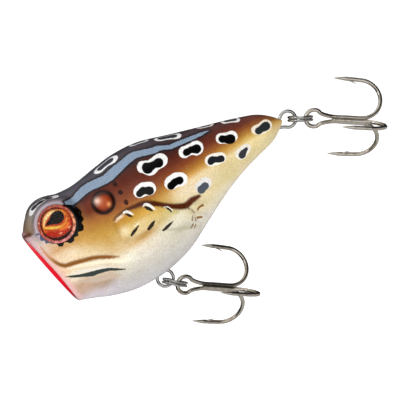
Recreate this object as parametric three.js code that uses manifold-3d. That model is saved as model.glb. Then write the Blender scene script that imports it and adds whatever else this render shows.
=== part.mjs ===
// Frog-pattern topwater popper, a hollow two-shell lure with a cupped mouth and two treble hooks.
// Millimetres. +X runs from the mouth to the tail, +Z is the back, and the shells part at Y = 0.
// The origin is the centre of the line-tie eye, which sits inside the mouth cup.

import * as THREE from 'three';
import { mergeVertices } from 'three/addons/utils/BufferGeometryUtils.js';
import Module from 'manifold-3d';

const wasm = await Module();
wasm.setup();

// ---------- driving dimensions ----------

// Back, belly and half-width of the body, as [x, value] from ahead of the lips to the tail.
const BACK = [
  [-6.5, 5.0], [-4.3, 8.3], [-2.2, 11.0], [0.3, 13.0], [3.2, 13.1], [6.7, 12.3], [10.5, 11.9],
  [16, 12.45], [21, 12.85], [27, 12.2], [33.6, 9.9], [40.3, 7.6], [47, 5.3], [53.2, 2.7], [55.7, 1.1],
];
const BELLY = [
  [-6.5, -7.4], [-1.7, -9.2], [1.9, -10.8], [5, -12.3], [10, -13.9], [15.8, -14.4], [20.2, -14.0],
  [25, -12.8], [30.8, -10.2], [36.6, -7.6], [41.9, -5.7], [46.7, -4.5], [53.2, -3.2], [55.7, -2.6],
];
const HALF_WIDTH = [
  [-6.5, 7.2], [-3, 8.3], [1, 9.2], [6, 9.9], [12, 10.4], [18, 10.5], [25, 9.6],
  [32, 7.7], [40, 5.3], [47, 3.6], [53.2, 2.4], [55.7, 1.9],
];
const TAIL_END = 55.7;
const TAIL_ROUND = 2.5; // length over which the tail rounds off
const SECTION_POWER = 2.25; // 2 is an ellipse, more is squarer
const WALL = 1.5;
const SEAM = 0.15; // each shell stops this far from Y = 0
const FIT = 0.25; // clearance round a piece held in a shell

const MOUTH = new THREE.Vector3(-3.0, 0, -0.45); // middle of the mouth opening
const MOUTH_RAKE = THREE.MathUtils.degToRad(8.6); // the lower lip sits back of the upper one
const CUP = { depth: 6.2, halfWidth: 6.9, halfHeight: 7.4 };
const LIP = { halfWidth: 7.5, halfHeight: 7.95, radius: 0.95 };

const EYE = { x: 2.7, y: 8.1, z: 7.95, forward: 14, up: 8, socket: 3.65, mound: 4.9 };
const EYE_DISC = { radius: 3.4, thickness: 0.5 };
const EYE_DOME = { radius: 3.4, height: 1.7 };
const EYE_LAYER_GAP = 0.12;
const TYMPANUM = { x: 13.3, z: 6.5, radius: 2.55, rise: 0.55 };
const ARM = { radius: 2.2, rise: 0.6, path: [[13.6, 0.4], [17.6, -1.2], [21.6, -1.8], [25.0, -4.3], [28.2, -5.6]] };

const WIRE = 0.36; // radius of the line tie and the hangers
const EYE_LOOP = 1.74; // centre-line radius of a hanger eye
const LINE_TIE = { loop: 1.35, legs: 8.2, spread: 1.5 };
const BELLY_HANGER = { x: 16.65, z: -15.5, legs: 8.4, spread: 2.2 };
const TAIL_HANGER = { x: 56.9, z: -1.2, legs: 9.5, spread: 1.1 };

const RING = { radius: 2.5, wire: 0.275, pitch: 0.65 };
const TAIL_RING = { ahead: 0.2, below: -0.12, droop: 30 }; // near wire against the hanger eye, droop in degrees
const BELLY_RING = { ahead: -0.6, below: -0.2, droop: 43 };

const HOOK = { wire: 0.45, eye: 1.8, shank: 10.2, gape: 9.3, tip: 4.4, offset: 0.62, lead: 3.3 };
const TAIL_HOOK = { ahead: 0.36, below: -0.27, droop: 36, roll: 7, yaw: 0 };
const BELLY_HOOK = { ahead: -0.2, below: 0.06, droop: 38, roll: 3, yaw: 12 };

const WEIGHT = { x: 34.75, z: -2.2, radius: 2.8, length: 7.5 };
const RATTLE = { x: 21.5, z: 3.0, bore: 1.75, wall: 0.95, length: 15, ball: 1.5, spacing: 3.1, count: 3 };
const PEGS = [[8.6, 3.1], [8.6, -3.1], [14.3, -11.6], [19.0, -11.6], [50, 1.5]]; // [x, z] of the locating pegs
const PEG = { radius: 0.6, length: 1.6 };

const WIRE_SIDES = 8;
const SLIVER = 0.002; // faces thinner than this are merged into their neighbours
const degrees = THREE.MathUtils.degToRad;

// ---------- solids ----------

function solidOf(geometry) {
  const bare = geometry.clone();
  for (const name of Object.keys(bare.attributes)) {
    if (name !== 'position') bare.deleteAttribute(name);
  }
  const merged = mergeVertices(bare, 1e-4);
  const mesh = new wasm.Mesh({
    numProp: 3,
    vertProperties: Float32Array.from(merged.attributes.position.array),
    triVerts: Uint32Array.from(merged.index.array),
  });
  return new wasm.Manifold(mesh);
}

function geometryOf(solid) {
  const mesh = solid.getMesh();
  const geometry = new THREE.BufferGeometry();
  geometry.setAttribute('position', new THREE.BufferAttribute(mesh.vertProperties, 3));
  geometry.setIndex(new THREE.BufferAttribute(mesh.triVerts, 1));
  geometry.computeVertexNormals();
  return geometry;
}

function box(x0, x1, y0, y1, z0, z1) {
  const geometry = new THREE.BoxGeometry(x1 - x0, y1 - y0, z1 - z0);
  geometry.translate((x0 + x1) / 2, (y0 + y1) / 2, (z0 + z1) / 2);
  return solidOf(geometry);
}

function rodAlongX(x0, x1, y, z, radius, sides = 20) {
  const geometry = new THREE.CylinderGeometry(radius, radius, x1 - x0, sides);
  geometry.rotateZ(Math.PI / 2);
  geometry.translate((x0 + x1) / 2, y, z);
  return solidOf(geometry);
}

function rodAlongY(x, y0, y1, z, radius, sides = 12) {
  const geometry = new THREE.CylinderGeometry(radius, radius, y1 - y0, sides);
  geometry.translate(x, (y0 + y1) / 2, z);
  return solidOf(geometry);
}

// A smooth curve through [x, value] pairs, read at any x.
function smoothThrough(pairs) {
  const slope = (i) => {
    const a = pairs[Math.max(i - 1, 0)];
    const b = pairs[Math.min(i + 1, pairs.length - 1)];
    return (b[1] - a[1]) / (b[0] - a[0]);
  };
  return (x) => {
    let i = 0;
    while (i < pairs.length - 2 && x > pairs[i + 1][0]) i += 1;
    const [x0, v0] = pairs[i];
    const [x1, v1] = pairs[i + 1];
    const t = THREE.MathUtils.clamp((x - x0) / (x1 - x0), 0, 1);
    const run = x1 - x0;
    const rise = v1 - v0;
    const a = slope(i) * run - rise;
    const b = rise - slope(i + 1) * run;
    return v0 + rise * t + t * (1 - t) * (a * (1 - t) + b * t);
  };
}

const backAt = smoothThrough(BACK);
const bellyAt = smoothThrough(BELLY);
const halfWidthAt = smoothThrough(HALF_WIDTH);

// Half-height, half-width and middle of the section at x.
function sectionAt(x, inset) {
  const into = Math.max(0, (x - (TAIL_END - TAIL_ROUND)) / TAIL_ROUND);
  const rounding = Math.sqrt(Math.max(0.01, 1 - into * into));
  const middle = (backAt(x) + bellyAt(x)) / 2;
  const halfHeight = ((backAt(x) - bellyAt(x)) / 2) * rounding - inset;
  return { middle, halfHeight, halfWidth: halfWidthAt(x) * rounding - inset };
}

// Where the flank's surface lies at (x, z): its distance from the middle plane.
function flankAt(x, z) {
  const { middle, halfHeight, halfWidth } = sectionAt(x, 0);
  const share = Math.min(0.98, Math.abs(z - middle) / halfHeight);
  return halfWidth * (1 - share ** SECTION_POWER) ** (1 / SECTION_POWER);
}

function sectionRing(x, inset, sides) {
  const { middle, halfHeight, halfWidth } = sectionAt(x, inset);
  const squared = (v) => Math.sign(v) * Math.abs(v) ** (2 / SECTION_POWER);
  const ring = [];
  for (let j = 0; j < sides; j += 1) {
    const turn = (2 * Math.PI * j) / sides;
    const y = halfWidth * squared(Math.cos(turn));
    ring.push(new THREE.Vector3(x, y, middle + halfHeight * squared(Math.sin(turn))));
  }
  return ring;
}

// A closed solid through rings of points that run round +X, from the lowest x to the highest.
function loft(rings) {
  const sides = rings[0].length;
  const points = rings.flat();
  const faces = [];
  for (let i = 0; i < rings.length - 1; i += 1) {
    for (let j = 0; j < sides; j += 1) {
      const a = i * sides + j;
      const b = i * sides + ((j + 1) % sides);
      faces.push(a, b, a + sides, b, b + sides, a + sides);
    }
  }
  for (const [at, outward] of [[0, -1], [rings.length - 1, 1]]) {
    const centre = rings[at].reduce((sum, p) => sum.add(p), new THREE.Vector3()).divideScalar(sides);
    points.push(centre);
    for (let j = 0; j < sides; j += 1) {
      const a = at * sides + j;
      const b = at * sides + ((j + 1) % sides);
      faces.push(points.length - 1, ...(outward > 0 ? [a, b] : [b, a]));
    }
  }
  const geometry = new THREE.BufferGeometry().setFromPoints(points);
  geometry.setIndex(faces);
  return solidOf(geometry);
}

function bodySolid(x0, x1, inset, steps, sides) {
  const rings = [];
  for (let i = 0; i <= steps; i += 1) {
    const t = i / steps;
    rings.push(sectionRing(x0 + (x1 - x0) * Math.sin((t * Math.PI) / 2) ** 1.25, inset, sides));
  }
  return loft(rings);
}

// A round wire along a list of points.
function wireAlong(points, radius, steps, sides = WIRE_SIDES) {
  const outline = new THREE.Shape();
  outline.absarc(0, 0, radius, 0, 2 * Math.PI, false);
  const path = new THREE.CatmullRomCurve3(points, false, 'centripetal');
  const settings = { steps, bevelEnabled: false, extrudePath: path, curveSegments: sides / 2 };
  return solidOf(new THREE.ExtrudeGeometry(outline, settings));
}

// ---------- wires ----------

// An eye of wire round the origin with two legs that run to +X and flare at their ends.
// Grown a little, and plainer, it is the channel that the shells hold the wire in.
function eyeWire({ loop, legs, spread }, grow = 0) {
  const half = WIRE + 0.1;
  const points = [
    new THREE.Vector3(legs, 0, spread),
    new THREE.Vector3(legs - 1.6, 0, half + 0.15),
    new THREE.Vector3(loop + 2.2, 0, half),
    new THREE.Vector3(loop + 0.8, 0, half + 0.1),
  ];
  for (let turn = 40; turn <= 320; turn += 20) {
    points.push(new THREE.Vector3(loop * Math.cos(degrees(turn)), 0, loop * Math.sin(degrees(turn))));
  }
  points.push(
    new THREE.Vector3(loop + 0.8, 0, -half - 0.1),
    new THREE.Vector3(loop + 2.2, 0, -half),
    new THREE.Vector3(legs - 1.6, 0, -half - 0.15),
    new THREE.Vector3(legs, 0, -spread),
  );
  return grow > 0 ? wireAlong(points, WIRE + grow, 24, 6) : wireAlong(points, WIRE, 36);
}

// A split ring: two flat coils in the XY plane joined by one short offset.
function splitRing() {
  const offsetTurn = 50;
  const start = 110;
  const points = [];
  for (let turn = 0; turn <= 720 - offsetTurn - 12; turn += 12) {
    const step = THREE.MathUtils.smoothstep(turn, 360 - offsetTurn, 360);
    const at = degrees(start + turn);
    const z = (step - 0.5) * RING.pitch;
    points.push(new THREE.Vector3(RING.radius * Math.cos(at), RING.radius * Math.sin(at), z));
  }
  return wireAlong(points, RING.wire, 42);
}

// Where a hook's wire runs, from its tip round the bend to the eye end of its shank.
// The wire lies in the plane of the axis and the direction turn degrees round from -Y.
function prongPath(turn) {
  const out = new THREE.Vector3(0, -Math.cos(degrees(turn)), Math.sin(degrees(turn)));
  const at = (along, away) => new THREE.Vector3(along, 0, 0).addScaledVector(out, away);
  const bend = (HOOK.gape - HOOK.offset) / 2;
  const points = [at(HOOK.tip + 2, HOOK.gape + 0.15), at(HOOK.tip + 4, HOOK.gape + 0.1)];
  for (let step = 0; step <= 8; step += 1) {
    const angle = Math.PI / 2 - (step * Math.PI) / 8;
    points.push(at(HOOK.shank + bend * Math.cos(angle), HOOK.offset + bend + bend * Math.sin(angle)));
  }
  points.push(at(HOOK.shank - 3, HOOK.offset), at(HOOK.lead + 0.6, HOOK.offset));
  return points;
}

// The needle point and the barb of the prong that lies turn degrees round from -Y.
function pointAndBarb(turn) {
  const needle = new THREE.CylinderGeometry(0.06, HOOK.wire * 0.98, 2.3, WIRE_SIDES);
  needle.rotateZ(Math.PI / 2);
  needle.translate(HOOK.tip + 1.1, 0, HOOK.gape + 0.15);
  const barb = new THREE.ConeGeometry(0.3, 1.9, 6);
  barb.rotateZ(degrees(-90 - 24));
  barb.rotateX(Math.PI / 2);
  barb.translate(HOOK.tip + 3.0, 0, HOOK.gape - 0.35);
  const both = [needle, barb].map((geometry) => {
    geometry.rotateX(degrees(turn - 90));
    geometry.rotateX(degrees(180));
    return solidOf(geometry);
  });
  return both[0].add(both[1]);
}

// The double: one wire that makes two prongs and the eye between them.
function doubleHook() {
  const up = prongPath(120);
  const down = prongPath(-120).reverse();
  const eye = [];
  for (let turn = 40; turn <= 320; turn += 20) {
    eye.push(new THREE.Vector3(HOOK.eye * Math.cos(degrees(turn)), 0, HOOK.eye * Math.sin(degrees(turn))));
  }
  const wire = wireAlong([...up, ...eye, ...down], HOOK.wire, 70);
  return wire.add(pointAndBarb(120)).add(pointAndBarb(-120));
}

// The single: the third prong, brazed to the double along its shank.
function singleHook() {
  return wireAlong(prongPath(0), HOOK.wire, 26).add(pointAndBarb(0));
}

// ---------- shells ----------

function mouthEllipsoid(grow) {
  const geometry = new THREE.SphereGeometry(1, 20, 12);
  geometry.scale(CUP.depth + grow, CUP.halfWidth + grow, CUP.halfHeight + grow);
  geometry.rotateY(-MOUTH_RAKE);
  geometry.translate(MOUTH.x, MOUTH.y, MOUTH.z);
  return solidOf(geometry);
}

function mouthFront() {
  const geometry = new THREE.BoxGeometry(20, 40, 40);
  geometry.translate(-10, 0, 0);
  geometry.rotateY(-MOUTH_RAKE);
  geometry.translate(MOUTH.x, MOUTH.y, MOUTH.z);
  return solidOf(geometry);
}

function lipBead() {
  const geometry = new THREE.TorusGeometry(1, LIP.radius / LIP.halfWidth, 8, 28);
  geometry.scale(LIP.halfHeight, LIP.halfWidth, LIP.halfWidth);
  geometry.rotateY(Math.PI / 2);
  geometry.rotateY(-MOUTH_RAKE);
  geometry.translate(MOUTH.x + 0.5, MOUTH.y, MOUTH.z);
  return solidOf(geometry);
}

// Turns a shape made about +Z so that +Z points out of the eye on one side, and moves it there.
function placeAtEye(object, side) {
  const out = new THREE.Vector3(-Math.tan(degrees(EYE.forward)), side, Math.tan(degrees(EYE.up)));
  object.quaternion.setFromUnitVectors(new THREE.Vector3(0, 0, 1), out.normalize());
  object.position.set(EYE.x, side * EYE.y, EYE.z);
  object.updateMatrix();
  return object;
}

function atRightEye(profile) {
  return solidOf(lathe(profile).applyMatrix4(placeAtEye(new THREE.Object3D(), 1).matrix));
}

function lathe(profile, sides = 20) {
  const geometry = new THREE.LatheGeometry(profile.map(([r, z]) => new THREE.Vector2(r, z)), sides);
  geometry.rotateX(Math.PI / 2);
  return geometry;
}

function eyeMound() {
  const { mound, socket } = EYE;
  return atRightEye([[0, -3], [mound, -3], [mound, -0.2], [mound - 0.5, 0.5], [socket + 0.3, 0.75], [0, 0.75]]);
}

function eyeSocket() {
  return atRightEye([[0, -0.5], [EYE.socket, -0.5], [EYE.socket, 2], [0, 2]]);
}

function tympanum() {
  const geometry = new THREE.SphereGeometry(1, 16, 8);
  geometry.scale(TYMPANUM.radius, TYMPANUM.rise * 2, TYMPANUM.radius);
  geometry.translate(TYMPANUM.x, flankAt(TYMPANUM.x, TYMPANUM.z) - TYMPANUM.rise, TYMPANUM.z);
  return solidOf(geometry);
}

// The folded foreleg, a ridge that follows the flank.
function arm() {
  const depth = ARM.radius - ARM.rise;
  const points = ARM.path.map(([x, z]) => {
    const { middle, halfHeight, halfWidth } = sectionAt(x, 0);
    const normal = new THREE.Vector3(0, flankAt(x, z) / halfWidth ** 2, (z - middle) / halfHeight ** 2);
    normal.normalize().multiplyScalar(-depth);
    return new THREE.Vector3(x, flankAt(x, z) + normal.y, z + normal.z);
  });
  return wireAlong(points, ARM.radius, 10);
}

// Walls across the shell that hold the wires, the weight and the rattle chamber.
function innerFrame(outside) {
  const lineTieBlock = box(2.0, 10.4, -20, 20, -4.4, 4.4);
  const bellyBlock = box(13.0, 20.4, -4.2, 4.2, -20, -6.6);
  const rattleFront = RATTLE.x - RATTLE.length / 2;
  const rattleBack = RATTLE.x + RATTLE.length / 2;
  const rattleTube = rodAlongX(rattleFront - 1.2, rattleBack + 1.2, 0, RATTLE.z, RATTLE.bore + RATTLE.wall, 24);
  const rattleRibs = box(rattleFront + 0.6, rattleFront + 1.8, -20, 20, 0.6, 5.4)
    .add(box(rattleBack - 1.8, rattleBack - 0.6, -20, 20, 0.6, 5.4));
  const weightFront = WEIGHT.x - WEIGHT.length / 2;
  const weightBack = WEIGHT.x + WEIGHT.length / 2;
  const weightTube = rodAlongX(weightFront - 1, weightBack + 1, 0, WEIGHT.z, WEIGHT.radius + FIT + 0.9, 24);
  const weightRibs = box(weightFront + 0.2, weightFront + 1.4, -20, 20, -20, WEIGHT.z)
    .add(box(weightBack - 1.4, weightBack - 0.2, -20, 20, -20, WEIGHT.z));
  return [bellyBlock, rattleTube, rattleRibs, weightTube, weightRibs]
    .reduce((sum, piece) => sum.add(piece), lineTieBlock)
    .intersect(outside)
    .subtract(rodAlongX(rattleFront, rattleBack, 0, RATTLE.z, RATTLE.bore, 24))
    .subtract(rodAlongX(weightFront - FIT, weightBack + FIT, 0, WEIGHT.z, WEIGHT.radius + FIT, 24));
}

// A solid of a wire node, moved to where that node sits in the lure.
function inPlace(make, node) {
  node.updateMatrix();
  return solidOf(geometryOf(make).applyMatrix4(node.matrix));
}

// The same solid on the other side of the middle plane.
function mirrored(solid) {
  const geometry = geometryOf(solid).scale(1, -1, 1);
  const corners = geometry.index.array;
  for (let i = 0; i < corners.length; i += 3) {
    [corners[i], corners[i + 1]] = [corners[i + 1], corners[i]];
  }
  return solidOf(geometry);
}

// The shells are each other's mirror image, but the left one has pegs and the right one has sockets.
function bothShells(wireNodes) {
  const inside = bodySolid(-5.5, 47, WALL, 14, 20).subtract(mouthEllipsoid(WALL));
  const frame = innerFrame(bodySolid(-6.5, TAIL_END, WALL / 2, 16, 24));
  let plain = [lipBead(), eyeMound(), tympanum(), arm()]
    .reduce((sum, piece) => sum.add(piece), bodySolid(-6.5, TAIL_END, 0, 28, 32))
    .subtract(inside)
    .add(frame);
  const channels = wireNodes.map(([settings, node]) => inPlace(eyeWire(settings, FIT), node));
  for (const cut of [mouthFront(), mouthEllipsoid(0), eyeSocket(), ...channels]) {
    plain = plain.subtract(cut);
  }
  plain = plain.intersect(box(-30, 90, SEAM, 40, -40, 40)).simplify(SLIVER);
  let left = mirrored(plain);
  let right = plain;
  for (const [x, z] of PEGS) {
    left = left.add(rodAlongY(x, -SEAM - 0.5, PEG.length, z, PEG.radius));
    right = right.subtract(rodAlongY(x, -1, PEG.length + FIT, z, PEG.radius + FIT));
  }
  return { left, right };
}

// ---------- the lure ----------

const materials = {
  paintedPlastic: { color: 0x9a6b35, roughness: 0.22, metalness: 0.05 },
  eyeFoil: { color: 0xc8501c, roughness: 0.3, metalness: 0.4 },
  clearResin: { color: 0xf4f1ea, roughness: 0.05, metalness: 0, transparent: true, opacity: 0.35 },
  nickelWire: { color: 0xb9b7b2, roughness: 0.25, metalness: 1 },
  tinnedHook: { color: 0x8f8d8a, roughness: 0.3, metalness: 1 },
  steel: { color: 0x9c9ea1, roughness: 0.35, metalness: 1 },
};

function meshOf(name, solid, material) {
  const mesh = new THREE.Mesh(geometryOf(solid), new THREE.MeshStandardMaterial(materials[material]));
  mesh.name = name;
  return mesh;
}

const lure = new THREE.Group();

// line tie and hangers
const lineTie = meshOf('line_tie', eyeWire(LINE_TIE), 'nickelWire');
lineTie.rotation.y = -MOUTH_RAKE;

const bellyHangerShape = { loop: EYE_LOOP, ...BELLY_HANGER };
const bellyHanger = meshOf('belly_hanger', eyeWire(bellyHangerShape), 'nickelWire');
bellyHanger.position.set(BELLY_HANGER.x, 0, BELLY_HANGER.z);
bellyHanger.rotation.y = degrees(-90);

const tailHangerShape = { loop: EYE_LOOP, ...TAIL_HANGER };
const tailHanger = meshOf('tail_hanger', eyeWire(tailHangerShape), 'nickelWire');
tailHanger.position.set(TAIL_HANGER.x, 0, TAIL_HANGER.z);
tailHanger.rotation.y = degrees(180);
lure.add(lineTie, bellyHanger, tailHanger);

// shells
const shells = bothShells([
  [LINE_TIE, lineTie],
  [bellyHangerShape, bellyHanger],
  [tailHangerShape, tailHanger],
]);
lure.add(meshOf('body_left_shell', shells.left, 'paintedPlastic'));
lure.add(meshOf('body_right_shell', shells.right, 'paintedPlastic'));

// eyes: a printed foil disc under a clear dome on each side
const discFloor = -0.5 + EYE_LAYER_GAP;
const discTop = discFloor + EYE_DISC.thickness;
const domeFloor = discTop + EYE_LAYER_GAP;
const domeProfile = [[0, domeFloor], [EYE_DOME.radius, domeFloor], [EYE_DOME.radius, domeFloor + 0.35]];
for (let step = 1; step <= 5; step += 1) {
  const around = (step * Math.PI) / 10;
  const rise = (EYE_DOME.height - 0.35) * Math.sin(around);
  domeProfile.push([step === 5 ? 0 : EYE_DOME.radius * Math.cos(around), domeFloor + 0.35 + rise]);
}
const discProfile = [[0, discFloor], [EYE_DISC.radius, discFloor], [EYE_DISC.radius, discTop], [0, discTop]];
for (const [word, side] of [['left', -1], ['right', 1]]) {
  lure.add(placeAtEye(meshOf(`${word}_eye_disc`, solidOf(lathe(discProfile)), 'eyeFoil'), side));
  lure.add(placeAtEye(meshOf(`${word}_eye_dome`, solidOf(lathe(domeProfile)), 'clearResin'), side));
}

// split rings and treble hooks
for (const [word, hanger, ring, hook] of [
  ['belly', BELLY_HANGER, BELLY_RING, BELLY_HOOK],
  ['tail', TAIL_HANGER, TAIL_RING, TAIL_HOOK],
]) {
  const droop = degrees(ring.droop);
  const near = new THREE.Vector3(hanger.x + ring.ahead, 0, hanger.z + ring.below);
  const reach = new THREE.Vector3(Math.cos(droop), 0, -Math.sin(droop));
  const ringMesh = meshOf(`${word}_split_ring`, splitRing(), 'nickelWire');
  ringMesh.position.copy(near).addScaledVector(reach, RING.radius);
  ringMesh.rotation.y = droop;
  lure.add(ringMesh);

  const far = near.clone().addScaledVector(reach, 2 * RING.radius);
  const treble = new THREE.Group();
  treble.position.set(far.x + hook.ahead, 0, far.z + hook.below);
  treble.rotation.set(degrees(hook.roll), degrees(hook.droop), degrees(hook.yaw), 'YZX');
  treble.add(meshOf(`${word}_treble_double`, doubleHook(), 'tinnedHook'));
  treble.add(meshOf(`${word}_treble_single`, singleHook(), 'tinnedHook'));
  lure.add(treble);
}

// weight and rattle balls
const weight = rodAlongX(-WEIGHT.length / 2, WEIGHT.length / 2, 0, 0, WEIGHT.radius, 24);
const weightMesh = meshOf('tail_weight', weight, 'steel');
weightMesh.position.set(WEIGHT.x, 0, WEIGHT.z);
lure.add(weightMesh);

for (let i = 0; i < RATTLE.count; i += 1) {
  const ball = meshOf(`rattle_ball_${i + 1}`, solidOf(new THREE.SphereGeometry(RATTLE.ball, 12, 8)), 'steel');
  ball.position.set(RATTLE.x + (i - (RATTLE.count - 1) / 2) * RATTLE.spacing, 0, RATTLE.z);
  lure.add(ball);
}

export default lure;
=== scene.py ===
import math

import bpy
import numpy as np
from mathutils import Matrix, Vector


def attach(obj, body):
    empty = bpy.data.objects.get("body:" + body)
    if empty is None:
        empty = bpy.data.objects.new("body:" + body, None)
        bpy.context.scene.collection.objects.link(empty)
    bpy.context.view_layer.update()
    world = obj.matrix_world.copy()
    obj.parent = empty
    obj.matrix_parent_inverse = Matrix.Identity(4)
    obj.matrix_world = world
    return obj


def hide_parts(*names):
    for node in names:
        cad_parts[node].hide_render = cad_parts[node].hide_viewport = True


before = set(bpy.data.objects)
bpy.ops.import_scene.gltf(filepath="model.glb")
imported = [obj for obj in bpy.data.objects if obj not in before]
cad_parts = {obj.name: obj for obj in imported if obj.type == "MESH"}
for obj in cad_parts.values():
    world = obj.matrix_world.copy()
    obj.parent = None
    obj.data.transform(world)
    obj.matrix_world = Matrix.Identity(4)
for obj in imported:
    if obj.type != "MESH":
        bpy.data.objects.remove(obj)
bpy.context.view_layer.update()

# Frog-pattern topwater popper. The settings are in millimetres, and mm turns them into metres.
# +X runs from the mouth to the tail, +Z is the back, and the two shells part at Y = 0.
mm = 0.001
far = 9.0  # a paint distance beyond the reach of any mark


def activate(piece):
    bpy.ops.object.select_all(action="DESELECT")
    piece.select_set(True)
    bpy.context.view_layer.objects.active = piece


def named(name):
    piece = bpy.context.object
    piece.name = name
    piece.data.name = name
    return piece


def cornersOf(piece):
    co = np.empty(len(piece.data.vertices) * 3)
    piece.data.vertices.foreach_get("co", co)
    return co.reshape(-1, 3) / mm


def setCorners(piece, co):
    piece.data.vertices.foreach_set("co", (np.asarray(co) * mm).ravel())
    piece.data.update()


def storeNumbers(piece, name, values):
    piece.data.attributes.new(name, "FLOAT", "POINT").data.foreach_set("value", values)


def storeColours(piece, name, colours):
    rows = np.column_stack([colours, np.ones(len(colours))])
    piece.data.attributes.new(name, "FLOAT_COLOR", "POINT").data.foreach_set("color", rows.ravel())


def selectAll():
    bpy.ops.mesh.select_all(action="SELECT")


def editPiece(piece, *steps):
    activate(piece)
    bpy.ops.object.mode_set(mode="EDIT")
    bpy.ops.mesh.select_mode(type="VERT")
    for step in steps:
        step()
    bpy.ops.object.mode_set(mode="OBJECT")


def tidyMesh(piece, gap=0.0005):
    editPiece(
        piece,
        selectAll,
        lambda: bpy.ops.mesh.remove_doubles(threshold=gap * mm),
        lambda: bpy.ops.mesh.normals_make_consistent(inside=False),
    )


def smooth(piece, angle=35):
    activate(piece)
    bpy.ops.object.shade_smooth_by_angle(angle=math.radians(angle))


def join(pieces, name):
    activate(pieces[0])
    for piece in pieces:
        piece.select_set(True)
    bpy.ops.object.join()
    return named(name)


def place(piece, matrix):
    # moves a finished shape to its place, and leaves its object at the origin
    activate(piece)
    piece.matrix_world = matrix @ piece.matrix_world
    bpy.ops.object.transform_apply(location=True, rotation=True, scale=True)
    return piece


def shifted(x, y, z):
    return Matrix.Translation((x * mm, y * mm, z * mm))


def turned(degrees, axis):
    return Matrix.Rotation(math.radians(degrees), 4, axis)


def smoothstep(low, high, value):
    t = np.clip((value - low) / (high - low), 0, 1)
    return t * t * (3 - 2 * t)


def throughPairs(pairs):
    # a smooth curve through [x, value] pairs, read at any x
    xs, vs = np.array(pairs, float).T
    last = len(xs) - 1
    ahead, behind = np.minimum(np.arange(last + 1) + 1, last), np.maximum(np.arange(last + 1) - 1, 0)
    slopes = (vs[ahead] - vs[behind]) / (xs[ahead] - xs[behind])

    def at(x):
        i = np.clip(np.searchsorted(xs, x) - 1, 0, last - 1)
        run, rise = xs[i + 1] - xs[i], vs[i + 1] - vs[i]
        t = np.clip((x - xs[i]) / run, 0, 1)
        bulge = (slopes[i] * run - rise) * (1 - t) + (rise - slopes[i + 1] * run) * t
        return vs[i] + rise * t + t * (1 - t) * bulge

    return at


def between(first, last, start, end, t):
    return ((end - t) * first + (t - start) * last) / (end - start)


def throughPoints(points, count):
    # an even line of count points along a smooth curve through the given ones
    p = np.array(points, float)
    p = np.vstack([2 * p[0] - p[1], p, 2 * p[-1] - p[-2]])
    knots = np.concatenate([[0], np.cumsum(np.linalg.norm(np.diff(p, axis=0), axis=1) ** 0.5)])
    fine = []
    for i in range(1, len(p) - 2):
        for t in np.linspace(knots[i], knots[i + 1], 24, endpoint=i == len(p) - 3):
            near = [between(p[j], p[j + 1], knots[j], knots[j + 1], t) for j in (i - 1, i, i + 1)]
            wide = [between(near[k], near[k + 1], knots[i - 1 + k], knots[i + 1 + k], t) for k in (0, 1)]
            fine.append(between(wide[0], wide[1], knots[i], knots[i + 1], t))
    fine = np.array(fine)
    along = np.concatenate([[0], np.cumsum(np.linalg.norm(np.diff(fine, axis=0), axis=1))])
    even = np.linspace(0, along[-1], count)
    return np.column_stack([np.interp(even, along, fine[:, k]) for k in range(3)])


def linear(code):
    # a colour written as six hex digits, as Blender's linear numbers
    parts = np.array([int(code[i:i + 2], 16) / 255 for i in (0, 2, 4)])
    return np.where(parts <= 0.04045, parts / 12.92, ((parts + 0.055) / 1.055) ** 2.4)


# The camera looks at the left flank from a little ahead and above.
cameraSettings = {
    "aim": (31.8, 0, -5.5), "azimuth": -6, "elevation": 8, "across": 85.0, "lens": 500, "bodyTilt": 33,
}

azimuth, elevation = math.radians(cameraSettings["azimuth"]), math.radians(cameraSettings["elevation"])
backward = Vector((math.sin(azimuth), -math.cos(azimuth), math.tan(elevation))).normalized()
bpy.ops.object.camera_add()
camera = bpy.context.object
camera.name = "camera"
camera.data.lens = cameraSettings["lens"]
distance = cameraSettings["across"] * mm * camera.data.lens / camera.data.sensor_width
level = (-backward).to_track_quat("-Z", "Y").to_matrix()
rise = math.atan2(level.col[1].x, level.col[0].x)  # how far the body's axis already climbs in a level view
roll = math.radians(cameraSettings["bodyTilt"]) - rise
camera.location = Vector(cameraSettings["aim"]) * mm + backward * distance
camera.rotation_euler = (level @ Matrix.Rotation(-roll, 3, "Z")).to_euler()
camera.data.clip_start, camera.data.clip_end = 0.02, 20
bpy.context.scene.camera = camera
print("camera")


def newMaterial(name, colour, **inputs):
    material = bpy.data.materials.new(name)
    material.use_nodes = True
    shader = material.node_tree.nodes["Principled BSDF"]
    shader.inputs["Base Color"].default_value = (*linear(colour), 1)
    for key, value in inputs.items():
        shader.inputs[key].default_value = value
    return material


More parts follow.
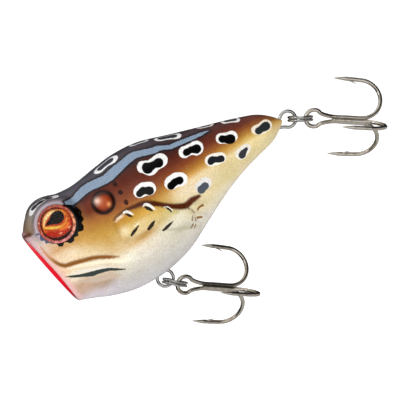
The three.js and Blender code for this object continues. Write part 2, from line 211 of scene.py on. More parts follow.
class Nodes:
    # short ways to add and link a material's nodes
    def __init__(self, material):
        self.tree = material.node_tree
        self.shader = self.tree.nodes["Principled BSDF"]
        self.place = self.tree.nodes.new("ShaderNodeTexCoord").outputs["Object"]

    def link(self, value, socket):
        if isinstance(value, bpy.types.NodeSocket):
            self.tree.links.new(value, socket)
        else:
            socket.default_value = value

    def attribute(self, name, out="Fac"):
        node = self.tree.nodes.new("ShaderNodeAttribute")
        node.attribute_name = name
        return node.outputs[out]

    def math(self, kind, a, b=0.0, c=0.0):
        node = self.tree.nodes.new("ShaderNodeMath")
        node.operation = kind
        for value, socket in zip((a, b, c), node.inputs):
            self.link(value, socket)
        return node.outputs[0]

    def noise(self, size, detail=2.0, rough=0.5, where=None):
        node = self.tree.nodes.new("ShaderNodeTexNoise")
        self.link(where or self.place, node.inputs["Vector"])
        node.inputs["Scale"].default_value = 1 / (size * mm)
        node.inputs["Detail"].default_value = detail
        node.inputs["Roughness"].default_value = rough
        return node.outputs["Fac"]

    def fade(self, value, low, high, outLow=0.0, outHigh=1.0):
        node = self.tree.nodes.new("ShaderNodeMapRange")
        node.interpolation_type = "SMOOTHSTEP"
        keys = ("Value", "From Min", "From Max", "To Min", "To Max")
        for number, key in zip((value, low, high, outLow, outHigh), keys):
            self.link(number, node.inputs[key])
        return node.outputs["Result"]

    def mix(self, share, a, b, how="MIX"):
        node = self.tree.nodes.new("ShaderNodeMix")
        node.data_type = "RGBA"
        node.blend_type = how
        self.link(share, node.inputs[0])
        for value, socket in ((a, node.inputs[6]), (b, node.inputs[7])):
            self.link((*linear(value), 1) if isinstance(value, str) else value, socket)
        return node.outputs[2]

    def ramp(self, value, stops):
        node = self.tree.nodes.new("ShaderNodeValToRGB")
        for i, (at, colour) in enumerate(stops):
            stop = node.color_ramp.elements[i] if i < 2 else node.color_ramp.elements.new(at)
            stop.position = at
            stop.color = (*linear(colour), 1)
        self.link(value, node.inputs[0])
        return node.outputs[0]

    def bump(self, height, depth, strength=1.0):
        node = self.tree.nodes.new("ShaderNodeBump")
        node.inputs["Strength"].default_value = strength
        node.inputs["Distance"].default_value = depth * mm
        self.link(height, node.inputs["Height"])
        self.link(node.outputs[0], self.shader.inputs["Normal"])


def paintMaterial():
    # airbrushed colours with their painted highlights and shade, soft shading marks, pale outlines and dark
    # ink under a thick clear coat
    material = newMaterial("frogPaint", "c8a878", **{
        "Roughness": 0.4, "Specular IOR Level": 0.06, "Coat Weight": 1.0, "Coat Roughness": 0.035,
        "Coat IOR": 1.27,
    })
    n = Nodes(material)
    wobble = n.math("SUBTRACT", n.noise(0.55, 3, 0.6), 0.5)
    speckle = n.noise(0.3, 3, 0.7)
    cloud = n.noise(2.6, 2)
    ground = n.mix(n.fade(speckle, 0.4, 0.62, 0.0, 0.2), n.attribute("ground", "Color"), "6a3c14", "MULTIPLY")
    ground = n.mix(n.fade(cloud, 0.35, 0.7, 0.0, 0.16), ground, "7a4a1e", "SOFT_LIGHT")
    layers = (("soft", 0.22, 0.3), ("pale", 0.30, 0.08), ("ink", 0.26, 0.07))
    colour, masks = ground, []
    for name, jitter, edge in layers:
        away = n.math("MULTIPLY_ADD", wobble, jitter, n.attribute(name + "Edge"))
        masks.append(n.fade(away, edge, -edge))
        tint = n.attribute(name + "Tint", "Color")
        if name == "pale":
            tint = n.mix(n.fade(speckle, 0.38, 0.72, 0.0, 0.42), tint, "5d7088", "MULTIPLY")
        colour = n.mix(masks[-1], colour, tint)
    n.link(colour, n.shader.inputs["Base Color"])
    n.link(n.fade(speckle, 0.3, 0.8, 0.28, 0.42), n.shader.inputs["Roughness"])
    grain = n.math("MULTIPLY", speckle, 0.12)
    height = n.math("MULTIPLY_ADD", masks[1], 0.5, n.math("MULTIPLY_ADD", masks[2], 0.35, grain))
    n.bump(height, 0.03, 0.6)
    return material


def plasticMaterial():
    # the bare moulded plastic inside the shells
    material = newMaterial("bareShell", "e9e4d8", **{"Roughness": 0.5})
    n = Nodes(material)
    n.link(n.mix(n.fade(n.noise(1.5), 0.3, 0.7), "ece7dc", "ddd6c6"), n.shader.inputs["Base Color"])
    n.bump(n.noise(0.3), 0.01)
    return material


def rimMaterial():
    # the rounded rim painted round each eye, its red changing round the ring, with painted highlights where
    # it turns pale peach and pink
    gloss = {"Roughness": 0.25, "Coat Weight": 1.0, "Coat Roughness": 0.03}
    material = newMaterial("eyeRim", "d98a68", **gloss)
    n = Nodes(material)
    # the colour round the ring: the pale peach and pink stops are painted highlights
    turnTintsAndHighlights = [(0.0, "b04a30"), (0.2, "8e2f1a"), (0.42, "b5502c"), (0.55, "e79a68"), (0.75, "d98480"),
                 (1.0, "b04a30")]
    colour = n.ramp(n.attribute("rimTurn"), turnTintsAndHighlights)
    colour = n.mix(n.fade(n.noise(0.7, 3), 0.42, 0.62, 0.0, 0.75), colour, "7c1a10")
    colour = n.mix(n.fade(n.noise(0.45, 2), 0.58, 0.72, 0.0, 0.6), colour, "f4b9a0")
    n.link(colour, n.shader.inputs["Base Color"])
    n.bump(n.noise(0.25), 0.01)
    return material


def metalMaterial(name, colour, dark, rough, pit=0.15):
    # bright plated metal: a fine grain, faint clouds and darker pits
    material = newMaterial(name, colour, **{"Metallic": 1.0, "Roughness": rough})
    n = Nodes(material)
    cloud, grain = n.noise(0.9, 4, 0.6), n.noise(0.12, 2, 0.7)
    tone = n.mix(n.fade(cloud, 0.42, 0.72, 0.0, 0.5), colour, dark)
    tone = n.mix(n.fade(grain, 0.62, 0.8, 0.0, pit), tone, "2c2a28")
    n.link(tone, n.shader.inputs["Base Color"])
    n.link(n.fade(cloud, 0.3, 0.75, rough * 0.75, rough * 1.5), n.shader.inputs["Roughness"])
    n.bump(grain, 0.003, 0.25)
    return material


frogPaint, bareShell, eyeRim = paintMaterial(), plasticMaterial(), rimMaterial()
nickel = metalMaterial("nickelWire", "d2d0cc", "8f8a84", 0.08)
ringNickel = metalMaterial("ringNickel", "cfcdc9", "85817b", 0.06)
hookPlate = metalMaterial("hookPlate", "dcd4c8", "8c7248", 0.06)
steel = metalMaterial("steel", "b5b7ba", "8a8c90", 0.3)
print("materials")


# The body: outlines and half width as [x, value], then the mouth, the lip, the wall and the mesh's rows.
bodySettings = {
    "back": [[-6.5, 5.0], [-4.3, 8.3], [-2.2, 11.0], [0.3, 13.0], [3.2, 13.1], [6.7, 12.3], [10.5, 11.9],
             [16, 12.45], [21, 12.85], [27, 12.2], [33.6, 9.9], [40.3, 7.6], [47, 5.3], [53.2, 2.7],
             [55.7, 1.1]],
    "belly": [[-6.5, -7.4], [-1.7, -9.2], [1.9, -10.8], [5, -12.3], [10, -13.9], [15.8, -14.4],
              [20.2, -14.0], [25, -12.8], [30.8, -10.2], [36.6, -7.6], [41.9, -5.7], [46.7, -4.5],
              [53.2, -3.2], [55.7, -2.6]],
    "halfWidth": [[-6.5, 7.2], [-3, 8.3], [1, 9.2], [6, 9.9], [12, 10.4], [18, 10.5], [25, 9.6], [32, 7.7],
                  [40, 5.3], [47, 3.6], [53.2, 2.4], [55.7, 1.9]],
    "power": 2.25, "tailEnd": 55.7, "tailRound": 5.0, "tailTaper": 1.25, "wall": 1.5, "seam": 0.004,
    "mouth": (-3.0, -0.45), "rake": 8.6, "rakeEnds": 12,
    "lip": {"halfWidth": 7.62, "halfHeight": 8.05, "radius": 0.85, "bulge": 0.85}, "cupDepth": 6.2,
    "rows": {"cup": 44, "lip": 26, "body": 310, "tail": 16}, "columns": 150,
    "cavity": {"middle": 27.6, "reach": 20.4, "swell": 2.2, "blunt": 0.6, "rows": 60, "columns": 48},
}
eyeSettings = {"at": (2.7, 8.1, 7.95), "forward": 14, "up": 8, "socket": 3.62, "seat": 0.62, "mound": 4.25,
               "fades": 5.9, "floor": -0.5, "cutter": 3.0, "disc": 3.4, "discDepth": 0.5, "discTop": 0.12,
               "dome": 3.4, "domeFloor": 0.24, "domeHeight": 1.35, "domeWall": 0.35, "domeEdge": 0.08,
               "domeSteps": 24, "domeSpokes": 96, "rim": 3.78, "rimWire": 0.31, "rimLift": 0.02}

backAt, bellyAt, halfWidthAt = (throughPairs(bodySettings[key]) for key in ("back", "belly", "halfWidth"))


def sectionPoint(x, turn, rounding, inset=0.0):
    # height and width of the section at x, at a turn from the belly (-90) to the back (90)
    middle, tall = (backAt(x) + bellyAt(x)) / 2, (backAt(x) - bellyAt(x)) / 2
    squared = 2 / bodySettings["power"]
    y = (halfWidthAt(x) - inset) * rounding * np.abs(np.cos(turn)) ** squared
    z = middle + (tall - inset) * rounding * np.sign(np.sin(turn)) * np.abs(np.sin(turn)) ** squared
    return y, z


def rakedSection(station, turn, rounding):
    mouthX, mouthZ = bodySettings["mouth"]
    upright = smoothstep(mouthX, bodySettings["rakeEnds"], station)
    lean = math.tan(math.radians(bodySettings["rake"])) * (1 - upright)
    x = station
    for _ in range(8):
        y, z = sectionPoint(x, turn, rounding)
        x = station - lean * (z - mouthZ)
    return np.stack([x + 0 * y, y, z], -1)


def mouthPoint(behind, across, up):
    # a point given from the mouth's plane: how far behind it, across, and up along it
    rake = math.radians(bodySettings["rake"])
    x = bodySettings["mouth"][0] + behind * math.cos(rake) - up * math.sin(rake)
    z = bodySettings["mouth"][1] + behind * math.sin(rake) + up * math.cos(rake)
    return np.stack([x + 0 * across, across + 0 * x, z], -1)


def outerRows():
    # the right half's outside as rows of points, from the bottom of the cup to the tail
    s, lip, rows = bodySettings, bodySettings["lip"], bodySettings["rows"]
    turn = np.linspace(-math.pi / 2, math.pi / 2, s["columns"] + 1)
    made = []
    wide, tall = lip["halfWidth"] - lip["radius"], lip["halfHeight"] - lip["radius"]
    for i in range(rows["cup"]):  # the bowl, from its deepest point out
        bowl = i / rows["cup"] * math.pi / 2
        out = math.sin(bowl)
        behind = lip["radius"] + (s["cupDepth"] - lip["radius"]) * math.cos(bowl)
        made.append(mouthPoint(behind, wide * out * np.cos(turn), tall * out * np.sin(turn)))
    start = s["mouth"][0] + lip["radius"]
    body = rakedSection(start, turn, 1.0)
    rim = mouthPoint(lip["radius"], wide * np.cos(turn), tall * np.sin(turn))
    forward = mouthPoint(-1.0, 0 * turn, 0 * turn) - mouthPoint(0.0, 0 * turn, 0 * turn)
    for i in range(rows["lip"]):  # round the lip, from the cup's edge to the body's own section
        swing = math.pi * i / rows["lip"]
        share = (1 - math.cos(swing)) / 2
        made.append(rim * (1 - share) + body * share + forward * lip["bulge"] * math.sin(swing))
    for i in range(rows["body"]):
        station = start + (s["tailEnd"] - s["tailRound"] - start) * i / rows["body"]
        made.append(rakedSection(station, turn, 1.0))
    for i in range(rows["tail"] + 1):
        into = i / rows["tail"] * math.pi / 2
        station = s["tailEnd"] - s["tailRound"] * (1 - math.sin(into))
        made.append(rakedSection(station, turn, max(math.cos(into), 1e-6) ** s["tailTaper"]))
    return np.array(made)


def eyeFrame(side=1):
    # the eye's middle and its three directions: towards the tail, up, and out
    forward, raised = (math.tan(math.radians(eyeSettings[key])) for key in ("forward", "up"))
    out = Vector((-forward, side, raised)).normalized()
    up = (Vector((0, 0, 1)) - out * out.z).normalized()
    along = up.cross(out) * -side
    x, y, z = eyeSettings["at"]
    return np.array([x, side * y, z]), np.array(along), np.array(up), np.array(out)


def eyeMatrix(side):
    # turns a shape made about +Z so that +Z points out of the eye
    middle, along, up, out = (Vector(v) for v in eyeFrame(side))
    across = up.cross(out)
    return Matrix.Translation(middle * mm) @ Matrix((across, up, out)).transposed().to_4x4()


patternSettings = {"ahead": 0.105, "above": 0.141}


def patternPlace(co):
    # where paint lands: the flank seen from a little ahead and above, the same on both sides
    out = np.abs(co[..., 1])
    return co[..., 0] + patternSettings["ahead"] * out, co[..., 2] - patternSettings["above"] * out


def strokeEdge(u, v, path, widths):
    # distance outside a brush stroke that follows a path and changes width
    line = throughPoints([(x, y, w) for (x, y), w in zip(path, widths)], max(12, 8 * len(path)))
    nearest = np.full(u.shape, far)
    for (ax, ay, aw), (bx, by, bw) in zip(line[:-1], line[1:]):
        run = (bx - ax) ** 2 + (by - ay) ** 2
        t = np.clip(((u - ax) * (bx - ax) + (v - ay) * (by - ay)) / max(run, 1e-9), 0, 1)
        away = np.hypot(u - ax - t * (bx - ax), v - ay - t * (by - ay))
        nearest = np.minimum(nearest, away - (aw + t * (bw - aw)))
    return nearest


def blotEdge(u, v, lobes, blend=0.55):
    # distance outside a blot made of round lobes that run together
    edge = np.full(u.shape, far)
    for x, y, radius in lobes:
        other = np.hypot(u - x, v - y) - radius
        h = np.clip(0.5 + 0.5 * (other - edge) / blend, 0, 1)
        edge = other * (1 - h) + edge * h - blend * h * (1 - h)
    return edge


# moulded details on the flank, as paths and lobes in the pattern's own (u, v)
reliefSettings = {
    "crease": {"path": [(-2.0, 4.4), (-1.8, 2.5), (-1.3, 0.8), (-0.6, -0.7), (0.3, -1.6), (2.0, -2.1),
                        (4.0, -2.75), (6.0, -3.4), (7.8, -4.3), (9.4, -5.3), (10.9, -6.2)],
               "widths": [0.12, 0.22, 0.32, 0.4, 0.46, 0.5, 0.48, 0.46, 0.42, 0.36, 0.1], "height": -0.3,
               "spread": 0.45},
    "jaw": {"path": [(-0.6, -3.0), (2.0, -3.9), (5.0, -4.9), (8.0, -6.2), (10.6, -7.6), (12.6, -8.3)],
            "widths": [0.2] * 6, "height": 0.22, "spread": 0.75},
    "jawLine": {"path": [(-1.0, -3.6), (0.6, -4.5), (2.2, -5.3), (4.0, -6.1), (6.0, -6.7), (7.6, -7.3),
                         (9.0, -8.2), (10.2, -8.9)], "widths": [0.1] * 8, "height": -0.16, "spread": 0.35},
    "leg": {"lobes": [(15.6, -0.9, 1.6), (17.5, -1.6, 2.3), (21.0, -2.5, 2.6), (24.4, -4.7, 2.2),
                      (27.0, -6.6, 1.8)], "height": 1.0, "spread": 0.9},
    "toes": {"paths": [
        [(27.2, -5.9), (29.4, -5.9), (31.9, -6.7)],
        [(27.4, -6.9), (29.0, -7.6), (30.6, -8.7)],
        [(26.8, -7.5), (27.9, -8.6), (28.6, -9.7)],
    ], "widths": [0.5, 0.45, 0.3], "height": 0.3, "spread": 0.4},
    "drum": {"at": (14.25, 5.25), "radius": 2.0, "rise": 0.5, "groove": 2.3, "depth": 0.08},
    "nostril": {"at": (-1.5, 8.6), "radius": 0.5, "depth": 0.3},
    "lid": {"radius": 4.72, "spread": 0.42, "height": 0.5, "rear": (5, 35), "front": (-150, -175)},
}


def ridge(edge, spread):
    return np.exp(-(np.maximum(edge, 0) / spread) ** 2)


def reliefHeight(u, v):
    # how far the moulded details stand above the plain flank, in millimetres
    r = reliefSettings
    height = np.zeros(u.shape)
    for line in (r["crease"], r["jaw"], r["jawLine"]):
        height += line["height"] * ridge(strokeEdge(u, v, line["path"], line["widths"]), line["spread"])
    leg = blotEdge(u, v, r["leg"]["lobes"], 1.6)
    height += r["leg"]["height"] * (1 - smoothstep(-0.5, 1.1, leg))
    height -= 0.12 * np.exp(-((leg - 1.2) / 0.5) ** 2)
    for path in r["toes"]["paths"]:
        toe = ridge(strokeEdge(u, v, path, r["toes"]["widths"]), r["toes"]["spread"])
        height = np.maximum(height, r["toes"]["height"] * toe)
    drum = np.hypot(u - r["drum"]["at"][0], v - r["drum"]["at"][1])
    height += r["drum"]["rise"] * np.clip(1 - (drum / (1.15 * r["drum"]["radius"])) ** 2, 0, 1) ** 0.8
    height -= r["drum"]["depth"] * np.exp(-((drum - r["drum"]["groove"]) / 0.28) ** 2)
    hole = np.hypot(u - r["nostril"]["at"][0], v - r["nostril"]["at"][1])
    return height - r["nostril"]["depth"] * ridge(hole - 0.1, r["nostril"]["radius"])


def sculptRelief(co, firstRow):
    # vertex moves along the surface for the moulded details, then the seat and lid of the eye
    down, along = np.gradient(co, axis=0), np.gradient(co, axis=1)
    normal = np.cross(along, down)
    normal /= np.linalg.norm(normal, axis=-1, keepdims=True) + 1e-12
    u, v = patternPlace(co)
    fadeIn = smoothstep(firstRow, firstRow + 8, np.arange(len(co)))[:, None]
    near = smoothstep(0.0, 0.6, co[..., 1])
    co = co + normal * (reliefHeight(u, v) * fadeIn * near)[..., None]

    middle, toTail, up, out = eyeFrame()
    away = co - middle
    height = away @ out
    a, b = away @ toTail, away @ up
    fromEye, turn = np.hypot(a, b), np.degrees(np.arctan2(b, a))
    nearSide = (height > -5) * fadeIn
    flatten = (1 - smoothstep(eyeSettings["mound"], eyeSettings["fades"], fromEye)) * nearSide
    fold = reliefSettings["lid"]
    lid = np.clip(smoothstep(*fold["rear"], turn) + smoothstep(*fold["front"], turn), 0, 1)
    lift = fold["height"] * lid * np.exp(-((fromEye - fold["radius"]) / fold["spread"]) ** 2)
    change = (eyeSettings["seat"] - height) * flatten + lift * nearSide
    return co + out * change[..., None]


def gridPiece(name, points):
    # a grid primitive with its corners moved onto the given rows of points
    rows, columns = points.shape[0] - 1, points.shape[1] - 1
    bpy.ops.mesh.primitive_grid_add(x_subdivisions=rows, y_subdivisions=columns, size=2)
    piece = named(name)
    flat = cornersOf(piece) * mm
    i = np.rint((flat[:, 0] + 1) / 2 * rows).astype(int)
    j = np.rint((flat[:, 1] + 1) / 2 * columns).astype(int)
    setCorners(piece, points[i, j])
    return piece


def innerRows():
    # the hollow inside the shells, rounded off at both ends
    s = bodySettings["cavity"]
    turn = np.linspace(-math.pi / 2, math.pi / 2, s["columns"] + 1)
    made = []
    for i in range(s["rows"] + 1):
        swing = math.pi * i / s["rows"]
        x = s["middle"] - s["reach"] * math.cos(swing)
        rounding = 1e-6
        if 0 < i < s["rows"]:
            rounding = max(1e-6, min(1.0, math.sin(swing) * s["swell"])) ** s["blunt"]
        y, z = sectionPoint(np.array(x), turn, rounding, bodySettings["wall"])
        made.append(np.stack([x + 0 * y, y, z], -1))
    return np.array(made)


outer = sculptRelief(outerRows(), bodySettings["rows"]["cup"] + bodySettings["rows"]["lip"] - 1)
outer[..., 1] = np.maximum(outer[..., 1], 0)
shell = gridPiece("rightShell", outer)
tidyMesh(shell)
cavity = gridPiece("cavity", innerRows())
tidyMesh(cavity)
print("body surfaces")


def turnFaces(piece, outwards=True):
    # turns the faces over if they point the wrong way, judged from the volume they close
    corners = cornersOf(piece)
    piece.data.calc_loop_triangles()
    tri = np.empty(len(piece.data.loop_triangles) * 3, np.int32)
    piece.data.loop_triangles.foreach_get("vertices", tri)
    a, b, c = corners[tri.reshape(-1, 3)].transpose(1, 0, 2)
    if (np.sum(a * np.cross(b, c)) > 0) != outwards:
        editPiece(piece, selectAll, lambda: bpy.ops.mesh.flip_normals())


turnFaces(shell)
turnFaces(cavity, outwards=False)
shell.data.materials.append(frogPaint)
cavity.data.materials.append(bareShell)
shell = join([shell, cavity], "rightShell")


def partShell():
    # cuts the shell off at the seam and closes the cut
    selectAll()
    bpy.ops.mesh.bisect(
        plane_co=(0, bodySettings["seam"] * mm, 0),
        plane_no=(0, 1, 0),
        use_fill=False,
        clear_inner=True,
        threshold=1e-8,
    )
    bpy.ops.mesh.fill(use_beauty=False)


editPiece(shell, partShell)
print("parted shell", len(shell.data.polygons))


def cutSocket(piece):
    # sinks a round pocket for the eye
    e = eyeSettings
    bpy.ops.object.select_all(action="DESELECT")
    bpy.ops.mesh.primitive_cylinder_add(
        vertices=128,
        radius=e["socket"] * mm,
        depth=e["cutter"] * mm,
        location=(0, 0, (e["floor"] + e["cutter"] / 2) * mm),
    )
    cutter = named("cutter")
    bpy.ops.object.transform_apply(location=True, rotation=True, scale=True)
    place(cutter, eyeMatrix(1))
    activate(piece)
    cut = piece.modifiers.new("socket", "BOOLEAN")
    cut.object, cut.operation, cut.solver = cutter, "DIFFERENCE", "EXACT"
    bpy.ops.object.modifier_apply(modifier="socket")
    bpy.data.objects.remove(cutter)


cutSocket(shell)
print("eye socket", len(shell.data.polygons))


def eyeRimRing():
    # the rounded rim that stands round the eye, as part of the shell
    e = eyeSettings
    bpy.ops.object.select_all(action="DESELECT")
    bpy.ops.mesh.primitive_torus_add(
        major_segments=128,
        minor_segments=24,
        major_radius=e["rim"] * mm,
        minor_radius=e["rimWire"] * mm,
    )
    ring = named("rimRing")
    co = cornersOf(ring)
    storeNumbers(ring, "rimTurn", (np.degrees(np.arctan2(co[:, 1], co[:, 0])) % 360) / 360)
    ring.data.materials.append(eyeRim)
    return place(ring, eyeMatrix(1) @ shifted(0, 0, e["seat"] + e["rimLift"]))


shell = join([shell, eyeRimRing()], "rightShell")

